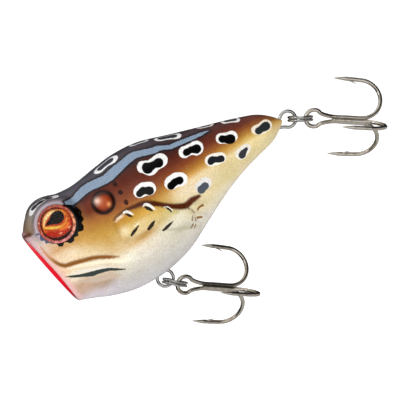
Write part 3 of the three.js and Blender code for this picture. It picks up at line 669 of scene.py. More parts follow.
paintSettings = {
    # colours down the flank at stations along the body, as [height, colour] from the back to the belly; the
    # paint's bands, with painted shade greying the lowest stops along the belly's edge
    "airbrushAndBellyShade": {
        -4.0: [[12, "8d7b62"], [9.4, "8a7258"], [8.2, "6f4a38"], [7.2, "c0b4bc"], [5, "dccbc9"],
               [2, "e0c3b4"], [0, "e0a892"], [-3, "e2a49e"], [-5, "cb9f88"], [-7, "c0a296"],
               [-8.6, "cdb6bc"]],
        1.0: [[13, "5c5a60"], [11.5, "8f8a88"], [3.2, "cfae88"], [2, "c89c66"], [0.8, "dcc2a0"],
              [-0.8, "dfcbaa"], [-2.6, "e3caa4"], [-4, "ddd0b6"], [-5.2, "d6cab4"], [-7, "bd9c82"],
              [-8.5, "b89e8c"], [-10, "c4bcc4"]],
        6.0: [[13, "54525c"], [11, "54525c"], [3.6, "b98a3e"], [2, "b9893c"], [0.5, "c49c54"],
              [-1, "d0b27a"], [-2.5, "dac69e"], [-4.6, "dfd3b6"], [-6.5, "cfc4ae"], [-8, "bda78c"],
              [-9.4, "a8937f"], [-11, "c8c2c8"]],
        11.0: [[12.5, "686670"], [10.4, "45404a"], [8, "4a1c12"], [7, "6a2f20"], [5, "6c2f18"],
               [3, "a0622a"], [1, "b08030"], [-1, "be9546"], [-3, "c4a261"], [-5, "cfb689"], [-7, "dfd6c0"],
               [-9, "d3cfc0"], [-11, "c9c5bb"], [-13.5, "cbc8cc"]],
        17.0: [[12.6, "565460"], [10.4, "38343e"], [8, "551f12"], [6, "69301f"], [4, "7d4125"],
               [2, "9a5a2c"], [0.6, "b98438"], [-1, "bf9232"], [-2.6, "d2b670"], [-4.4, "d6c192"],
               [-5.6, "cbaa70"], [-7, "dcd2bc"], [-9, "d8d2c4"], [-12, "ccc9c2"], [-14.4, "c6c6c8"]],
        24.0: [[12.6, "4c4650"], [10.8, "3a3038"], [9, "2c1a1c"], [8, "4a2118"], [6, "5c2a1e"],
               [4, "6e3424"], [2, "8a4e2a"], [0.6, "a5702f"], [-1, "c49a48"], [-3, "d2b468"], [-5, "d0c293"],
               [-7, "d4d0be"], [-9, "cfcbb9"], [-11, "d0ccc2"], [-13, "c8c6c2"]],
        32.0: [[11, "4a424a"], [9.5, "33242a"], [7, "3a1c1a"], [6, "4a221a"], [4, "6a3222"], [2.5, "8a4a28"],
               [1, "a9722f"], [0, "cf9f52"], [-1, "e4d0a8"], [-3, "dfd0b0"], [-5, "ddcfa6"], [-7, "cfc39c"],
               [-9, "d2ccbe"]],
        40.0: [[8, "4a3a40"], [6.8, "3c1e1e"], [5, "55241a"], [3.5, "6d3423"], [2, "94582a"], [1, "b07e35"],
               [0, "c49a50"], [-1, "dcc898"], [-3, "cfbf8e"], [-5, "cdbf92"], [-7, "cdc6b4"]],
        48.0: [[6, "4a3034"], [4.6, "4e241c"], [3, "6a3324"], [2, "8e5429"], [1, "aa7a33"], [0, "ceac5e"],
               [-1, "decd9a"], [-2.5, "d0c190"], [-4, "c5b890"], [-5, "cbc4b0"]],
        55.0: [[2.6, "5a3024"], [1.4, "7a4a2a"], [0.6, "865626"], [-0.4, "c29a54"], [-1.4, "cdb684"],
               [-2.6, "bfb493"]],
    },
    # wide soft clouds over the airbrush: u, v, spread along, spread up, share, colour; most are tone, the
    # pale ones on the leg's bulge, the toes and the jaw's end are painted highlights, and the tan and grey
    # ones under and beside the leg are painted shade
    "cloudsOfToneAndLight": [(2.8, -0.2, 2.4, 1.0, 0.75, "e6d6b8"), (5.2, -1.2, 1.8, 0.8, 0.4, "e6d6b8"),
               (14.9, -2.4, 1.2, 1.0, 0.8, "ecdfb8"), (18.5, -2.7, 1.6, 0.6, 0.45, "dccfa8"),
               (26.4, -6.1, 1.7, 1.0, 0.55, "dedbc9"), (29.6, -2.2, 2.4, 0.9, 0.4, "ece2ca"),
               (18.2, -5.15, 2.8, 0.7, 0.75, "a37630"), (22.6, -4.6, 1.7, 0.8, 0.5, "b79a58"),
               (25.6, -8.5, 2.4, 0.7, 0.7, "a9a48e"), (17.2, 0.0, 1.4, 0.6, 0.4, "c08828"),
               (20.6, -1.2, 1.6, 0.6, 0.4, "cf9c34"), (23.8, -2.9, 1.4, 0.6, 0.45, "c2a24e"),
               (12.8, -7.7, 1.5, 0.9, 0.65, "eaeadc"), (8.6, -0.2, 2.4, 1.0, 0.45, "bf9038"),
               (13.3, -1.6, 0.55, 1.7, 0.5, "b08a45"), (14.3, -4.3, 1.2, 0.55, 0.55, "a9823f"),
               (-1.4, -6.4, 0.9, 2.0, 0.5, "e29a9c"), (1.2, -6.9, 1.6, 0.8, 0.5, "a88a74"),
               (3.8, -8.3, 2.2, 0.7, 0.5, "a48f7e"), (28.8, -6.6, 1.4, 1.2, 0.4, "cbbf96"),
               (31.2, -5.6, 1.2, 0.7, 0.4, "bfae80")],
    # soft airbrushed marks: a path, its half-widths and its colour; the dark brown one along the leg's upper
    # edge and the grey one under the calf are painted shade
    "soft": [
        ([(-3.9, 8.3), (-3.0, 8.1), (-2.1, 7.8)], [0.3, 0.4, 0.15], "5d3524"),
        ([(0.6, -2.5), (4.0, -3.8), (8.0, -5.5), (11.0, -7.3), (12.6, -8.0)], [0.12, 0.3, 0.34, 0.4, 0.2],
         "e9dcc2"),
        # painted shade in the crease along the leg's upper edge
        ([(13.9, 0.9), (15.5, 1.2), (17.3, 1.3), (19.3, 0.9), (21.1, 0.5), (22.6, -0.4), (24.2, -1.7),
          (25.6, -3.0), (27.1, -4.1), (28.6, -4.8), (30.4, -4.6), (32.1, -4.7)],
         [0.1, 0.24, 0.34, 0.44, 0.58, 0.6, 0.52, 0.55, 0.64, 0.7, 0.66, 0.4], "4e210c"),
        # painted shadow under the calf
        ([(22.2, -6.9), (24.8, -8.2), (27.2, -9.4), (28.8, -10.1)], [0.08, 0.3, 0.4, 0.15], "aca68f"),
        ([(23.6, -3.4), (25.2, -4.3), (26.6, -5.2)], [0.15, 0.35, 0.2], "b7aa72"),
        ([(0.3, -3.7), (3.0, -4.8), (6.0, -6.0), (9.0, -7.7)], [0.1, 0.28, 0.3, 0.1], "d5d0c4"),
        ([(1.0, -6.1), (3.5, -7.4), (6.5, -8.6), (9.2, -9.7)], [0.15, 0.5, 0.45, 0.15], "b3a08e"),
        ([(14.3, 0.4), (15.6, 0.7), (16.4, 0.6)], [0.1, 0.28, 0.1], "f0dcc0"),
    ],
    # the mouth crease's brown, painted shade in the groove: lighter above, darker below
    "creaseShadeColours": ["b67c4e", "7c4a10"],
    # pale blots and strokes laid over the airbrush
    "pale": [
        ([(16.7, 1.05), (17.3, 0.95), (17.9, 0.2), (18.35, -0.55)], [0.22, 0.3, 0.24, 0.08], "f4f0e6"),
        ([(20.9, -0.05), (21.6, 0.0), (22.2, -0.8), (22.75, -2.0)], [0.14, 0.28, 0.33, 0.14], "f4f0e6"),
        ([(24.55, -2.6), (25.1, -3.1), (25.65, -4.15)], [0.14, 0.26, 0.2], "efe6d6"),
        ([(16.2, -2.9), (18.2, -2.4)], [0.05, 0.14], "efe8d0"),
        ([(20.0, -3.8), (21.6, -3.5)], [0.05, 0.12], "efe8d0"),
        ([(22.4, -6.1), (24.9, -5.8)], [0.05, 0.12], "efece0"),
    ],
    # dark brush strokes and dots
    "ink": [
        ([(-1.0, -3.6), (0.6, -4.5), (2.2, -5.3), (4.0, -6.1), (6.0, -6.7), (7.6, -7.3), (9.2, -8.3),
          (10.8, -9.3)], [0.08, 0.26, 0.34, 0.52, 0.42, 0.34, 0.24, 0.08], "2e3632"),
        ([(16.9, 0.65), (17.35, 0.05), (17.9, -0.8)], [0.14, 0.3, 0.08], "1c1610"),
        ([(21.1, -0.3), (21.6, -1.0), (22.15, -2.15)], [0.18, 0.36, 0.1], "1c1610"),
        ([(24.7, -2.65), (25.1, -3.35), (25.45, -4.3)], [0.08, 0.2, 0.16], "1c1208"),
        ([(15.6, -3.85), (16.6, -3.45), (17.9, -3.0)], [0.26, 0.34, 0.14], "2b2016"),
        ([(19.3, -4.75), (20.3, -4.4), (21.4, -3.9)], [0.3, 0.4, 0.14], "2b2016"),
        ([(21.8, -6.65), (22.9, -6.5), (24.7, -6.15)], [0.24, 0.34, 0.13], "2b2016"),
        ([(28.65, -4.9), (28.9, -6.1)], [0.16, 0.06], "5a3513"),
        ([(30.3, -6.95), (30.9, -6.7), (31.7, -6.75)], [0.2, 0.24, 0.28], "7a5524"),
        ([(29.2, -6.3), (29.35, -7.1)], [0.07, 0.12], "6b4a2c"),
        ([(28.6, -7.5), (28.05, -8.3)], [0.1, 0.12], "6b4a2c"),
        ([(29.0, -8.0), (28.75, -8.8)], [0.12, 0.08], "6b4a2c"),
        ([(29.4, -8.35), (30.2, -8.75)], [0.26, 0.2], "7a5524"),
        ([(27.0, -9.5), (27.9, -9.0)], [0.1, 0.12], "6b4a2c"),
        ([(27.6, -9.85), (28.3, -9.35)], [0.08, 0.12], "6b4a2c"),
        ([(18.35, 7.3), (18.4, 7.05)], [0.48, 0.48], "2c0e08"),
        ([(18.35, 5.2), (18.45, 5.0)], [0.48, 0.48], "2c0e08"),
        ([(18.35, 2.8), (18.3, 2.45)], [0.46, 0.42], "3a1406"),
        ([(-1.7, 7.05), (-1.1, 7.15), (-0.75, 6.9)], [0.06, 0.2, 0.14], "4b5570"),
    ],
    # leopard spots: lobes of the dark core, lobes of the pale outline, core colour, outline colour
    "spots": [
        ([(25.9, 6.5, 1.05), (26.0, 5.95, 0.95), (27.2, 6.15, 0.85), (28.55, 5.95, 1.05)],
         [(25.3, 7.0, 1.3), (26.5, 6.05, 1.65), (28.2, 6.2, 1.45), (29.2, 6.15, 1.5)], "050405", "f6f4f0"),
        ([(34.75, 4.6, 0.8), (35.8, 4.55, 0.72), (36.95, 4.05, 1.02)],
         [(34.4, 4.85, 1.25), (35.6, 4.75, 1.15), (37.0, 4.25, 1.55)], "050405", "f6f4f0"),
        ([(42.7, 2.85, 0.82), (43.5, 2.2, 0.8), (44.25, 1.85, 1.05)],
         [(42.55, 3.1, 1.12), (43.6, 2.5, 1.22), (44.75, 2.15, 1.22)], "050405", "f2efe8"),
        ([(50.2, 0.1, 0.75), (51.1, 0.1, 0.72), (52.05, 0.1, 1.0)],
         [(49.8, 0.6, 0.95), (50.6, 0.2, 1.1), (51.4, 0.2, 1.1), (52.2, 0.2, 1.3)], "22282a", "e6dcc8"),
        ([(21.6, 2.6, 0.7), (22.6, 2.75, 0.86), (23.7, 2.1, 0.86), (23.9, 1.9, 0.76)],
         [(21.9, 2.95, 1.3), (22.9, 3.0, 1.4), (24.0, 2.4, 1.42)], "050405", "f6f3ee"),
        ([(28.2, 0.35, 0.86), (29.3, 0.65, 0.8), (30.35, 0.35, 0.86)],
         [(28.5, 0.85, 1.45), (29.8, 0.95, 1.45), (30.7, 0.4, 1.45)], "050405", "f6f3ee"),
        ([(38.1, 0.15, 0.76), (38.7, 0.3, 0.7), (39.6, -0.3, 0.66), (40.35, -0.6, 0.72)],
         [(38.2, 0.3, 1.25), (39.3, 0.0, 1.3), (40.4, -0.35, 1.1)], "1b1c22", "efe9dc"),
        ([(44.45, -2.35, 0.75), (45.1, -2.0, 0.6), (45.9, -1.75, 0.4)],
         [(44.4, -2.0, 1.2), (45.5, -1.7, 1.1), (46.2, -1.6, 0.8)], "2b2c32", "e2dbd0"),
        ([(33.2, -3.8, 0.88), (34.3, -3.6, 0.82)], [(33.4, -3.3, 1.25), (34.7, -3.1, 1.3)], "454b55",
         "dedad4"),
    ],
    # spots on the back, as [x, distance from the middle, radius]
    "backSpots": [
        ([(17.3, 3.0, 0.95), (18.5, 2.95, 0.9), (19.6, 3.0, 1.0)],
         [(17.0, 3.1, 1.5), (18.5, 3.0, 1.3), (20.0, 3.1, 1.6)], "2f3039", "f4f3f2"),
        ([(31.6, 2.2, 0.8), (32.8, 2.2, 0.8), (33.9, 2.3, 0.9)],
         [(31.3, 2.3, 1.2), (32.8, 2.25, 1.15), (34.2, 2.35, 1.35)], "303139", "f2f0ee"),
        ([(45.4, 1.05, 0.55), (46.1, 1.1, 0.55), (46.9, 1.15, 0.62)],
         [(45.1, 1.15, 0.85), (46.1, 1.15, 0.85), (47.1, 1.25, 0.95)], "33323a", "eeeae4"),
        ([(0.9, 2.6, 0.85), (2.7, 2.35, 1.0), (4.6, 2.1, 0.8)],
         [(0.5, 2.8, 1.4), (2.8, 2.6, 1.6), (5.3, 2.4, 1.3)], "24242b", "eceaea"),
        ([(26.3, 1.0, 0.65), (27.2, 1.0, 0.62), (28.0, 1.0, 0.65)],
         [(26.1, 1.1, 1.1), (27.2, 1.1, 1.0), (28.2, 1.1, 1.1)], "34333c", "efeeec"),
        ([(40.3, 0.8, 0.5), (41.0, 0.8, 0.48), (41.7, 0.8, 0.5)],
         [(40.1, 0.9, 0.85), (41.0, 0.9, 0.8), (41.9, 0.9, 0.85)], "343037", "e8e4e0"),
    ],
    # the blue-grey stripe, as [u, top, bottom]
    "stripe": [[7.4, 9.9, 9.1], [8.3, 9.75, 8.35], [9.2, 9.75, 8.35], [10.5, 10.25, 8.5], [12, 10.6, 8.8],
               [13.5, 10.65, 8.8], [15, 10.4, 8.5], [17, 10.1, 8.25], [18.5, 10.3, 8.2], [20, 10.6, 8.55],
               [22, 10.75, 9.0], [24, 11.0, 9.35], [25.2, 10.9, 9.4], [26.5, 10.4, 9.0], [28, 9.8, 8.4],
               [29.2, 9.4, 8.05], [30.2, 9.2, 8.0], [31.2, 8.6, 7.6], [32.3, 8.0, 7.0], [33.6, 7.75, 6.75],
               [35, 7.5, 6.55], [36.5, 7.15, 6.25], [38, 6.85, 6.05], [39.5, 6.55, 5.85], [41.0, 6.05, 5.95],
               [42, 5.6, 5.8]],
    "stripeColour": "8799ae",
    "stripeEdge": "1c1013",
    # jagged black round the eye, as [turn from the tail side, radius]
    "eyeBlack": [[-180, 4.1], [-174, 4.7], [-166, 4.95], [-158, 4.4], [-152, 4.8], [-144, 4.3], [-134, 4.3],
                 [-124, 4.15], [-116, 4.9], [-108, 4.95], [-101, 4.3], [-94, 4.4], [-88, 5.05], [-78, 5.15],
                 [-70, 4.7], [-62, 5.25], [-54, 4.85], [-47, 5.75], [-38, 5.8], [-31, 5.2], [-22, 5.8],
                 [-14, 5.45], [-6, 5.8], [4, 5.5], [14, 5.35], [24, 4.8], [36, 4.3], [50, 3.9], [180, 3.9]],
    # the black round the eye, and the blue-grey painted sheen on it ahead of the eye
    "eyeBlackSheenColours": ["46506a", "030202"],
    "cup": {"colour": "e0142c", "reach": 7.8, "inset": 0.42, "depth": 6.6},
    "lip": {"colour": "dfb4b6", "from": 0.1, "to": 1.4, "share": 0.75},
    # the eardrum's dark ring, painted shade in the groove round the dome, and the copper dome, as (colour,
    # where it starts, where it is full), and the dome's edge darkened as painted shade
    "drumShadeRingAndDome": [("1c0703", 2.85, 2.45), ("a03f18", 1.98, 1.5)],
    "drumShade": ("4e1a08", 0.7),
    # painted highlights on the dome: u, v, size, share, colour
    "drumPaintedGlints": [(-0.95, 0.95, 0.62, 0.95, "f8dccb"), (-0.5, 0.5, 0.8, 0.35, "e39a70"),
                   (0.75, -0.95, 0.42, 0.8, "f2a866")],
    # the lid fold's painted highlight, a pale lavender band
    "lid": {"colour": "b6a9b3", "radius": 4.65, "spread": 0.55, "share": 0.9},
}


# the paint's bands down the flank, with painted shade greying them along the belly's edge
def airbrushedAndShaded(u, v):
    stations = sorted(paintSettings["airbrushAndBellyShade"])
    columns = []
    for station in stations:
        stops = sorted(paintSettings["airbrushAndBellyShade"][station])
        heights = [h for h, _ in stops]
        tints = np.array([linear(c) for _, c in stops])
        columns.append(np.column_stack([np.interp(v, heights, tints[:, k]) for k in range(3)]))
    made = columns[0].copy()
    for i in range(len(stations) - 1):
        share = smoothstep(stations[i], stations[i + 1], u)[:, None]
        made = np.where(share > 0, columns[i] * (1 - share) + columns[i + 1] * share, made)
    return made


def tinted(colours, tint, share):
    return colours + (linear(tint) - colours) * np.asarray(share)[:, None]


def layered(marks, count):
    # the nearest mark's distance and colour at every corner
    edge, tint = np.full(count, far), np.zeros((count, 3))
    for away, colour in marks:
        nearer = away < edge
        edge = np.where(nearer, away, edge)
        tint[nearer] = np.broadcast_to(colour, (count, 3))[nearer]
    return edge, tint


def blended(colours, share):
    # from the first colour to the second
    first, second = (linear(colour) for colour in colours)
    return first + (second - first) * share[:, None]


def paintMouth(ground, co):
    # the pink lip, and the distance outside the red cup
    p, lip = paintSettings, bodySettings["lip"]
    rake = math.radians(bodySettings["rake"])
    away = co - np.array([bodySettings["mouth"][0], 0, bodySettings["mouth"][1]])
    behind = away[:, 0] * math.cos(rake) + away[:, 2] * math.sin(rake)
    up = away[:, 2] * math.cos(rake) - away[:, 0] * math.sin(rake)
    nearLip = (1 - smoothstep(p["lip"]["from"], p["lip"]["to"], behind)) * p["lip"]["share"]
    outside = np.hypot(np.abs(co[:, 1]) / lip["halfWidth"], up / lip["halfHeight"]) - 1
    inCup = np.where(behind < p["cup"]["depth"], outside * p["cup"]["reach"] - p["cup"]["inset"], far)
    return tinted(ground, p["lip"]["colour"], nearLip), inCup


def paintEardrum(ground, u, v):
    # a dark soft ring of painted shade round a copper dome, darkened towards its edge as painted shade, with
    # painted highlights
    p, (drumU, drumV) = paintSettings, reliefSettings["drum"]["at"]
    away = np.hypot(u - drumU, v - drumV)
    # the dark ring is painted shade in the groove, the copper is the dome's own colour
    for colour, start, full in p["drumShadeRingAndDome"]:
        ground = tinted(ground, colour, smoothstep(start, full, away))
    # painted shade on the dome towards its edge
    colour, share = p["drumShade"]
    ground = tinted(ground, colour, smoothstep(0.8, 1.8, away) * smoothstep(2.2, 1.8, away) * share)
    # painted highlights on the dome
    for atU, atV, size, share, colour in p["drumPaintedGlints"]:
        spread = (u - drumU - atU) ** 2 + (v - drumV - atV) ** 2
        ground = tinted(ground, colour, share * np.exp(-spread / size ** 2))
    return ground


def stripeEdge(u, v):
    stripeU, top, bottom = np.array(paintSettings["stripe"]).T
    top, bottom = np.interp(u, stripeU, top), np.interp(u, stripeU, bottom)
    edge = np.abs(v - (top + bottom) / 2) - (top - bottom) / 2
    return np.maximum(edge, np.maximum(7.3 - u, u - 41.3))


def paintShell(piece):
    p = paintSettings
    co = cornersOf(piece)
    u, v = patternPlace(co)
    x, side = co[:, 0], np.abs(co[:, 1])
    onTop = co[:, 2] > (backAt(x) + bellyAt(x)) / 2
    eyeU, eyeV = patternPlace(np.array([eyeSettings["at"]]))
    a, b = u - eyeU[0], v - eyeV[0]
    fromEye, turn = np.hypot(a, b), np.degrees(np.arctan2(b, a))

    ground = airbrushedAndShaded(u, v)
    # painted shade: the lower belly darkened, from behind the head back
    ground = ground * (1 - 0.2 * smoothstep(-7.0, -12.5, v) * smoothstep(2, 9, u))[:, None]
    # the pale clouds on the leg's bulge, the toes and the jaw's end are painted highlights; the tan and grey
    # ones under and beside the leg are painted shade
    for atU, atV, wide, tall, share, colour in p["cloudsOfToneAndLight"]:
        cloud = np.exp(-((u - atU) / wide) ** 2 - ((v - atV) / tall) ** 2)
        ground = tinted(ground, colour, share * cloud)
    # a pale lavender band along the fold over and ahead of the eye, a painted highlight on the fold
    lid = np.exp(-((fromEye - p["lid"]["radius"]) / p["lid"]["spread"]) ** 2)
    lid *= np.clip(smoothstep(15, 50, turn) + smoothstep(-150, -170, turn), 0, 1)
    ground = tinted(ground, p["lid"]["colour"], p["lid"]["share"] * lid)
    ground, inCup = paintMouth(ground, co)
    ground = paintEardrum(ground, u, v)
    storeColours(piece, "ground", ground)

    marks = {}
    for name in ("soft", "pale", "ink"):
        marks[name] = [(strokeEdge(u, v, path, widths), linear(colour)) for path, widths, colour in p[name]]
    # the mouth crease darkened with brown as painted shade
    crease = reliefSettings["crease"]
    creaseShadeTint = blended(p["creaseShadeColours"], smoothstep(3.0, -1.0, v))
    marks["soft"].append((strokeEdge(u, v, crease["path"], crease["widths"]), creaseShadeTint))
    stripe = np.where(onTop, stripeEdge(u, v), far)
    marks["soft"].append((stripe - 0.42, linear(p["stripeEdge"])))
    marks["pale"].append((stripe, linear(p["stripeColour"])))
    for core, halo, coreColour, haloColour in p["spots"]:
        marks["pale"].append((blotEdge(u, v, halo), linear(haloColour)))
        marks["ink"].append((blotEdge(u, v, core), linear(coreColour)))
    for core, halo, coreColour, haloColour in p["backSpots"]:
        marks["pale"].append((np.where(onTop, blotEdge(x, side, halo), far), linear(haloColour)))
        marks["ink"].append((np.where(onTop, blotEdge(x, side, core), far), linear(coreColour)))
    # the ragged black round the eye, blue-grey ahead of it as a painted sheen
    turns, radii = np.array(p["eyeBlack"]).T
    sheenShare = np.where(turn > 60, 1, smoothstep(-150, -115, turn))
    marks["ink"].append((fromEye - np.interp(turn, turns, radii), blended(p["eyeBlackSheenColours"], sheenShare)))
    marks["ink"].append((inCup, linear(p["cup"]["colour"])))

    for name, layer in marks.items():
        edge, tint = layered(layer, len(co))
        storeNumbers(piece, name + "Edge", edge)
        storeColours(piece, name + "Tint", tint)


paintShell(shell)
smooth(shell)


def mirrorOf(piece, name):
    activate(piece)
    bpy.ops.object.duplicate(linked=False)
    other = named(name)
    other.scale = (1, -1, 1)
    bpy.ops.object.transform_apply(location=True, rotation=True, scale=True)
    return other


leftShell = mirrorOf(shell, "leftShell")
turnFaces(leftShell)
for piece, node in ((shell, "body_right_shell"), (leftShell, "body_left_shell")):
    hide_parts(node)
    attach(piece, "body")
print("painted shells")


irisSettings = {
    "pupil": [(0.95, 1.15, 1.3), (0.3, 1.05, 1.15)],
    "tip": [(0.6, 1.1), (-0.8, 1.0), (-2.35, 0.9)],
    "tipWidths": [1.15, 0.62, 0.05],
    "rings": 44, "spokes": 128,
    "ground": "bf451a", "shade": "7a1c0b", "edge": "5a0f08",
    # printed strokes from the first to the last: path, half-widths, softness, colour; the last two, peach
    # glints, are painted highlights
    "strokes": [
        ([(-2.9, -0.2), (-2.5, 1.3), (-1.2, 2.7), (0.4, 3.1)], [0.2, 0.25, 0.2, 0.1], 0.4, "d8642a"),
        ([(-2.6, -1.0), (-1.4, -1.7), (0.4, -2.0), (2.2, -1.6), (2.9, -0.6)], [0.35, 0.45, 0.45, 0.4, 0.2],
         0.35, "b8240f"),
        ([(2.6, -0.4), (2.9, 0.7), (2.5, 1.9)], [0.15, 0.25, 0.15], 0.35, "cf5a1e"),
        ([(0.0, -1.35), (1.2, -1.55), (2.2, -1.1)], [0.15, 0.28, 0.15], 0.3, "e8762c"),
        ([(-2.65, 0.95), (-1.95, 1.8), (-1.0, 2.4), (0.2, 2.65), (1.3, 2.4)], [0.04, 0.2, 0.28, 0.2, 0.1],
         0.26, "f4dc98"),
        ([(1.2, 2.45), (2.1, 1.8), (2.45, 0.8)], [0.16, 0.2, 0.12], 0.26, "d98a34"),
        ([(-2.75, 0.6), (-2.0, 0.15), (-1.2, -0.3), (-0.3, -0.72), (0.7, -0.95)],
         [0.08, 0.18, 0.22, 0.18, 0.12], 0.2, "f0cc50"),
        ([(0.6, -0.95), (1.7, -0.7), (2.35, 0.0)], [0.12, 0.14, 0.08], 0.22, "e0922c"),
        ([(-2.95, -1.5), (-2.4, -2.2), (-1.3, -2.8), (0.1, -3.0), (1.6, -2.75), (2.6, -2.1)],
         [0.04, 0.16, 0.22, 0.24, 0.18, 0.05], 0.18, "2a0604"),
        # two peach glints low on the iris: painted highlights
        ([(-0.55, -2.05), (-0.1, -2.1)], [0.1, 0.1], 0.14, "f3b08e"),
        ([(1.75, -1.95), (2.15, -1.8)], [0.12, 0.1], 0.14, "f3b08e"),
    ],
}


def spunPiece(name, profile, spokes):
    # a round piece spun about +Z from (radius, height) points
    profile = np.array(profile)
    turn = np.linspace(0, 2 * math.pi, spokes + 1)
    radius, height = profile[:, :1], profile[:, 1:]
    piece = gridPiece(name, np.stack([radius * np.cos(turn), radius * np.sin(turn), height + 0 * turn], -1))
    tidyMesh(piece, 0.0008)
    return piece


def discPiece(side):
    # a thin disc with a fine polar face for the printed iris and its painted highlights
    e, s = eyeSettings, irisSettings
    top, under = e["discTop"], e["discTop"] - e["discDepth"]
    profile = [(1e-6, top)] + [(r, top) for r in np.linspace(0, e["disc"], s["rings"] + 1)[1:]]
    profile += [(e["disc"], under), (1e-6, under)]
    piece = spunPiece("leftEyeDisc" if side < 0 else "rightEyeDisc", profile, s["spokes"])
    co = cornersOf(piece)
    a, b = co[:, 0] * side * -1, co[:, 1]
    pupil = np.minimum(blotEdge(a, b, s["pupil"], 0.5), strokeEdge(a, b, s["tip"], s["tipWidths"]))
    storeNumbers(piece, "pupil", pupil)
    away = np.hypot(a, b)
    tint = linear(s["ground"]) * np.ones((len(a), 3))
    tint = tinted(tint, s["shade"], smoothstep(2.5, 3.3, away))
    for path, widths, softness, colour in s["strokes"]:
        tint = tinted(tint, colour, smoothstep(softness, -softness * 0.4, strokeEdge(a, b, path, widths)))
    storeColours(piece, "iris", tinted(tint, s["edge"], smoothstep(3.15, 3.35, away)))
    return place(piece, eyeMatrix(side))


def irisMaterial():
    # printed foil: black pupil, gold almond ring, orange to dark red iris with fine flecks and two painted
    # highlights
    material = newMaterial("irisFoil", "c8642c", **{"Roughness": 0.5, "Specular IOR Level": 0.05})
    n = Nodes(material)
    streak, fleck = n.noise(0.3, 4, 0.65), n.noise(0.11, 2, 0.7)
    iris = n.mix(n.fade(streak, 0.42, 0.68, 0.0, 0.5), n.attribute("iris", "Color"), "8a2008", "MULTIPLY")
    iris = n.mix(n.fade(fleck, 0.6, 0.78, 0.0, 0.35), iris, "f3c27a")
    ragged = n.math("MULTIPLY_ADD", n.math("SUBTRACT", streak, 0.5), 0.16, n.attribute("pupil"))
    colour = n.mix(n.fade(ragged, 0.06, -0.06), iris, "040203")
    n.link(colour, n.shader.inputs["Base Color"])
    n.bump(streak, 0.01)
    return material


def domeMaterial():
    # clear resin, with a thin bright coat for its highlight
    material = newMaterial("clearResin", "ffffff", **{
        "Roughness": 0.0, "IOR": 1.08, "Transmission Weight": 1.0,
        "Coat Weight": 1.0, "Coat IOR": 1.22, "Coat Roughness": 0.015,
    })
    n = Nodes(material)
    n.link(n.mix(n.fade(n.noise(0.8), 0.3, 0.7), "ffffff", "fbf6ef"), n.shader.inputs["Base Color"])
    n.bump(n.noise(2.0), 0.004, 0.4)
    return material


irisFoil, clearResin = irisMaterial(), domeMaterial()


def domePiece(side):
    # a lens spun from its profile, flat under and crowned above
    e = eyeSettings
    floor, wall, edge = e["domeFloor"], e["domeWall"], e["domeEdge"]
    profile = [(1e-6, floor), (e["dome"] - edge, floor), (e["dome"], floor + edge), (e["dome"], floor + wall)]
    for i in range(1, e["domeSteps"] + 1):
        swing = math.pi / 2 * i / e["domeSteps"]
        height = floor + wall + (e["domeHeight"] - wall) * math.sin(swing)
        profile.append((max(1e-6, e["dome"] * math.cos(swing)), height))
    piece = spunPiece("leftEyeDome" if side < 0 else "rightEyeDome", profile, e["domeSpokes"])
    return place(piece, eyeMatrix(side))


for side, word in ((-1, "left"), (1, "right")):
    for maker, material, node, slot in (
        (discPiece, irisFoil, "_eye_disc", "eye_foil"),
        (domePiece, clearResin, "_eye_dome", "eye_resin"),
    ):
        piece = maker(side)
        piece.data.materials.append(material)
        smooth(piece)
        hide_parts(word + node)
        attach(piece, "body")
print("eyes")


def bentWire(name, points, radii, sides=10):
    # a wire drawn as a curve with its thickness at each point, then made a mesh
    bpy.ops.object.select_all(action="DESELECT")
    bpy.ops.curve.primitive_nurbs_path_add()
    curve = bpy.context.object
    curve.data.splines.clear()
    line = curve.data.splines.new("POLY")
    line.points.add(len(points) - 1)
    line.points.foreach_set("co", np.column_stack([np.asarray(points) * mm, np.ones(len(points))]).ravel())
    line.points.foreach_set("radius", np.broadcast_to(radii, len(points)).astype(float))
    line.use_smooth = True
    curve.data.dimensions = "3D"
    curve.data.twist_mode = "MINIMUM"
    curve.data.bevel_depth = mm
    curve.data.bevel_resolution = (sides - 4) // 2 + 1
    curve.data.use_fill_caps = True
    activate(curve)
    bpy.ops.object.convert(target="MESH")
    piece = named(name)
    tidyMesh(piece, 0.0001)
    return piece


wireSettings = {"radius": 0.36, "eyeLoop": 1.74, "lineTieLoop": 1.35}


def eyeLoop(radius):
    # the open ring of points that a wire follows round an eye
    turns = [math.radians(t) for t in range(40, 321, 20)]
    return [(radius * math.cos(t), 0, radius * math.sin(t)) for t in turns]


def eyeWire(name, loop, legs, spread):
    # a wire bent round an eye, its two legs running side by side and then spreading
    half = wireSettings["radius"] + 0.1
    leg = [(legs, spread), (legs - 1.6, half + 0.15), (loop + 2.2, half), (loop + 0.8, half + 0.1)]
    points = [(x, 0, z) for x, z in leg]
    points += eyeLoop(loop)
    points += [(x, 0, -z) for x, z in leg[::-1]]
    return bentWire(name, throughPoints(points, 110), wireSettings["radius"], 14)


def dress(piece, material, node, body):
    piece.data.materials.clear()
    piece.data.materials.append(material)
    smooth(piece, 50)
    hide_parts(node)
    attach(piece, body)


# name, node, loop radius, length and spread of the legs, then where the eye sits and how it turns about Y
tieLoop, hangerLoop = wireSettings["lineTieLoop"], wireSettings["eyeLoop"]
for name, node, loop, legs, spread, seat, turn in (
    ("lineTie", "line_tie", tieLoop, 8.2, 1.5, (0, 0, 0), -bodySettings["rake"]),
    ("bellyHanger", "belly_hanger", hangerLoop, 8.4, 2.2, (16.65, 0, -15.5), -90),
    ("tailHanger", "tail_hanger", hangerLoop, 9.5, 1.1, (56.9, 0, -1.2), 180),
):
    wire = place(eyeWire(name, loop, legs, spread), shifted(*seat) @ turned(turn, "Y"))
    dress(wire, nickel, node, "body")

ringSettings = {"radius": 2.5, "wire": 0.275, "pitch": 0.65, "overlap": 50, "start": 110}


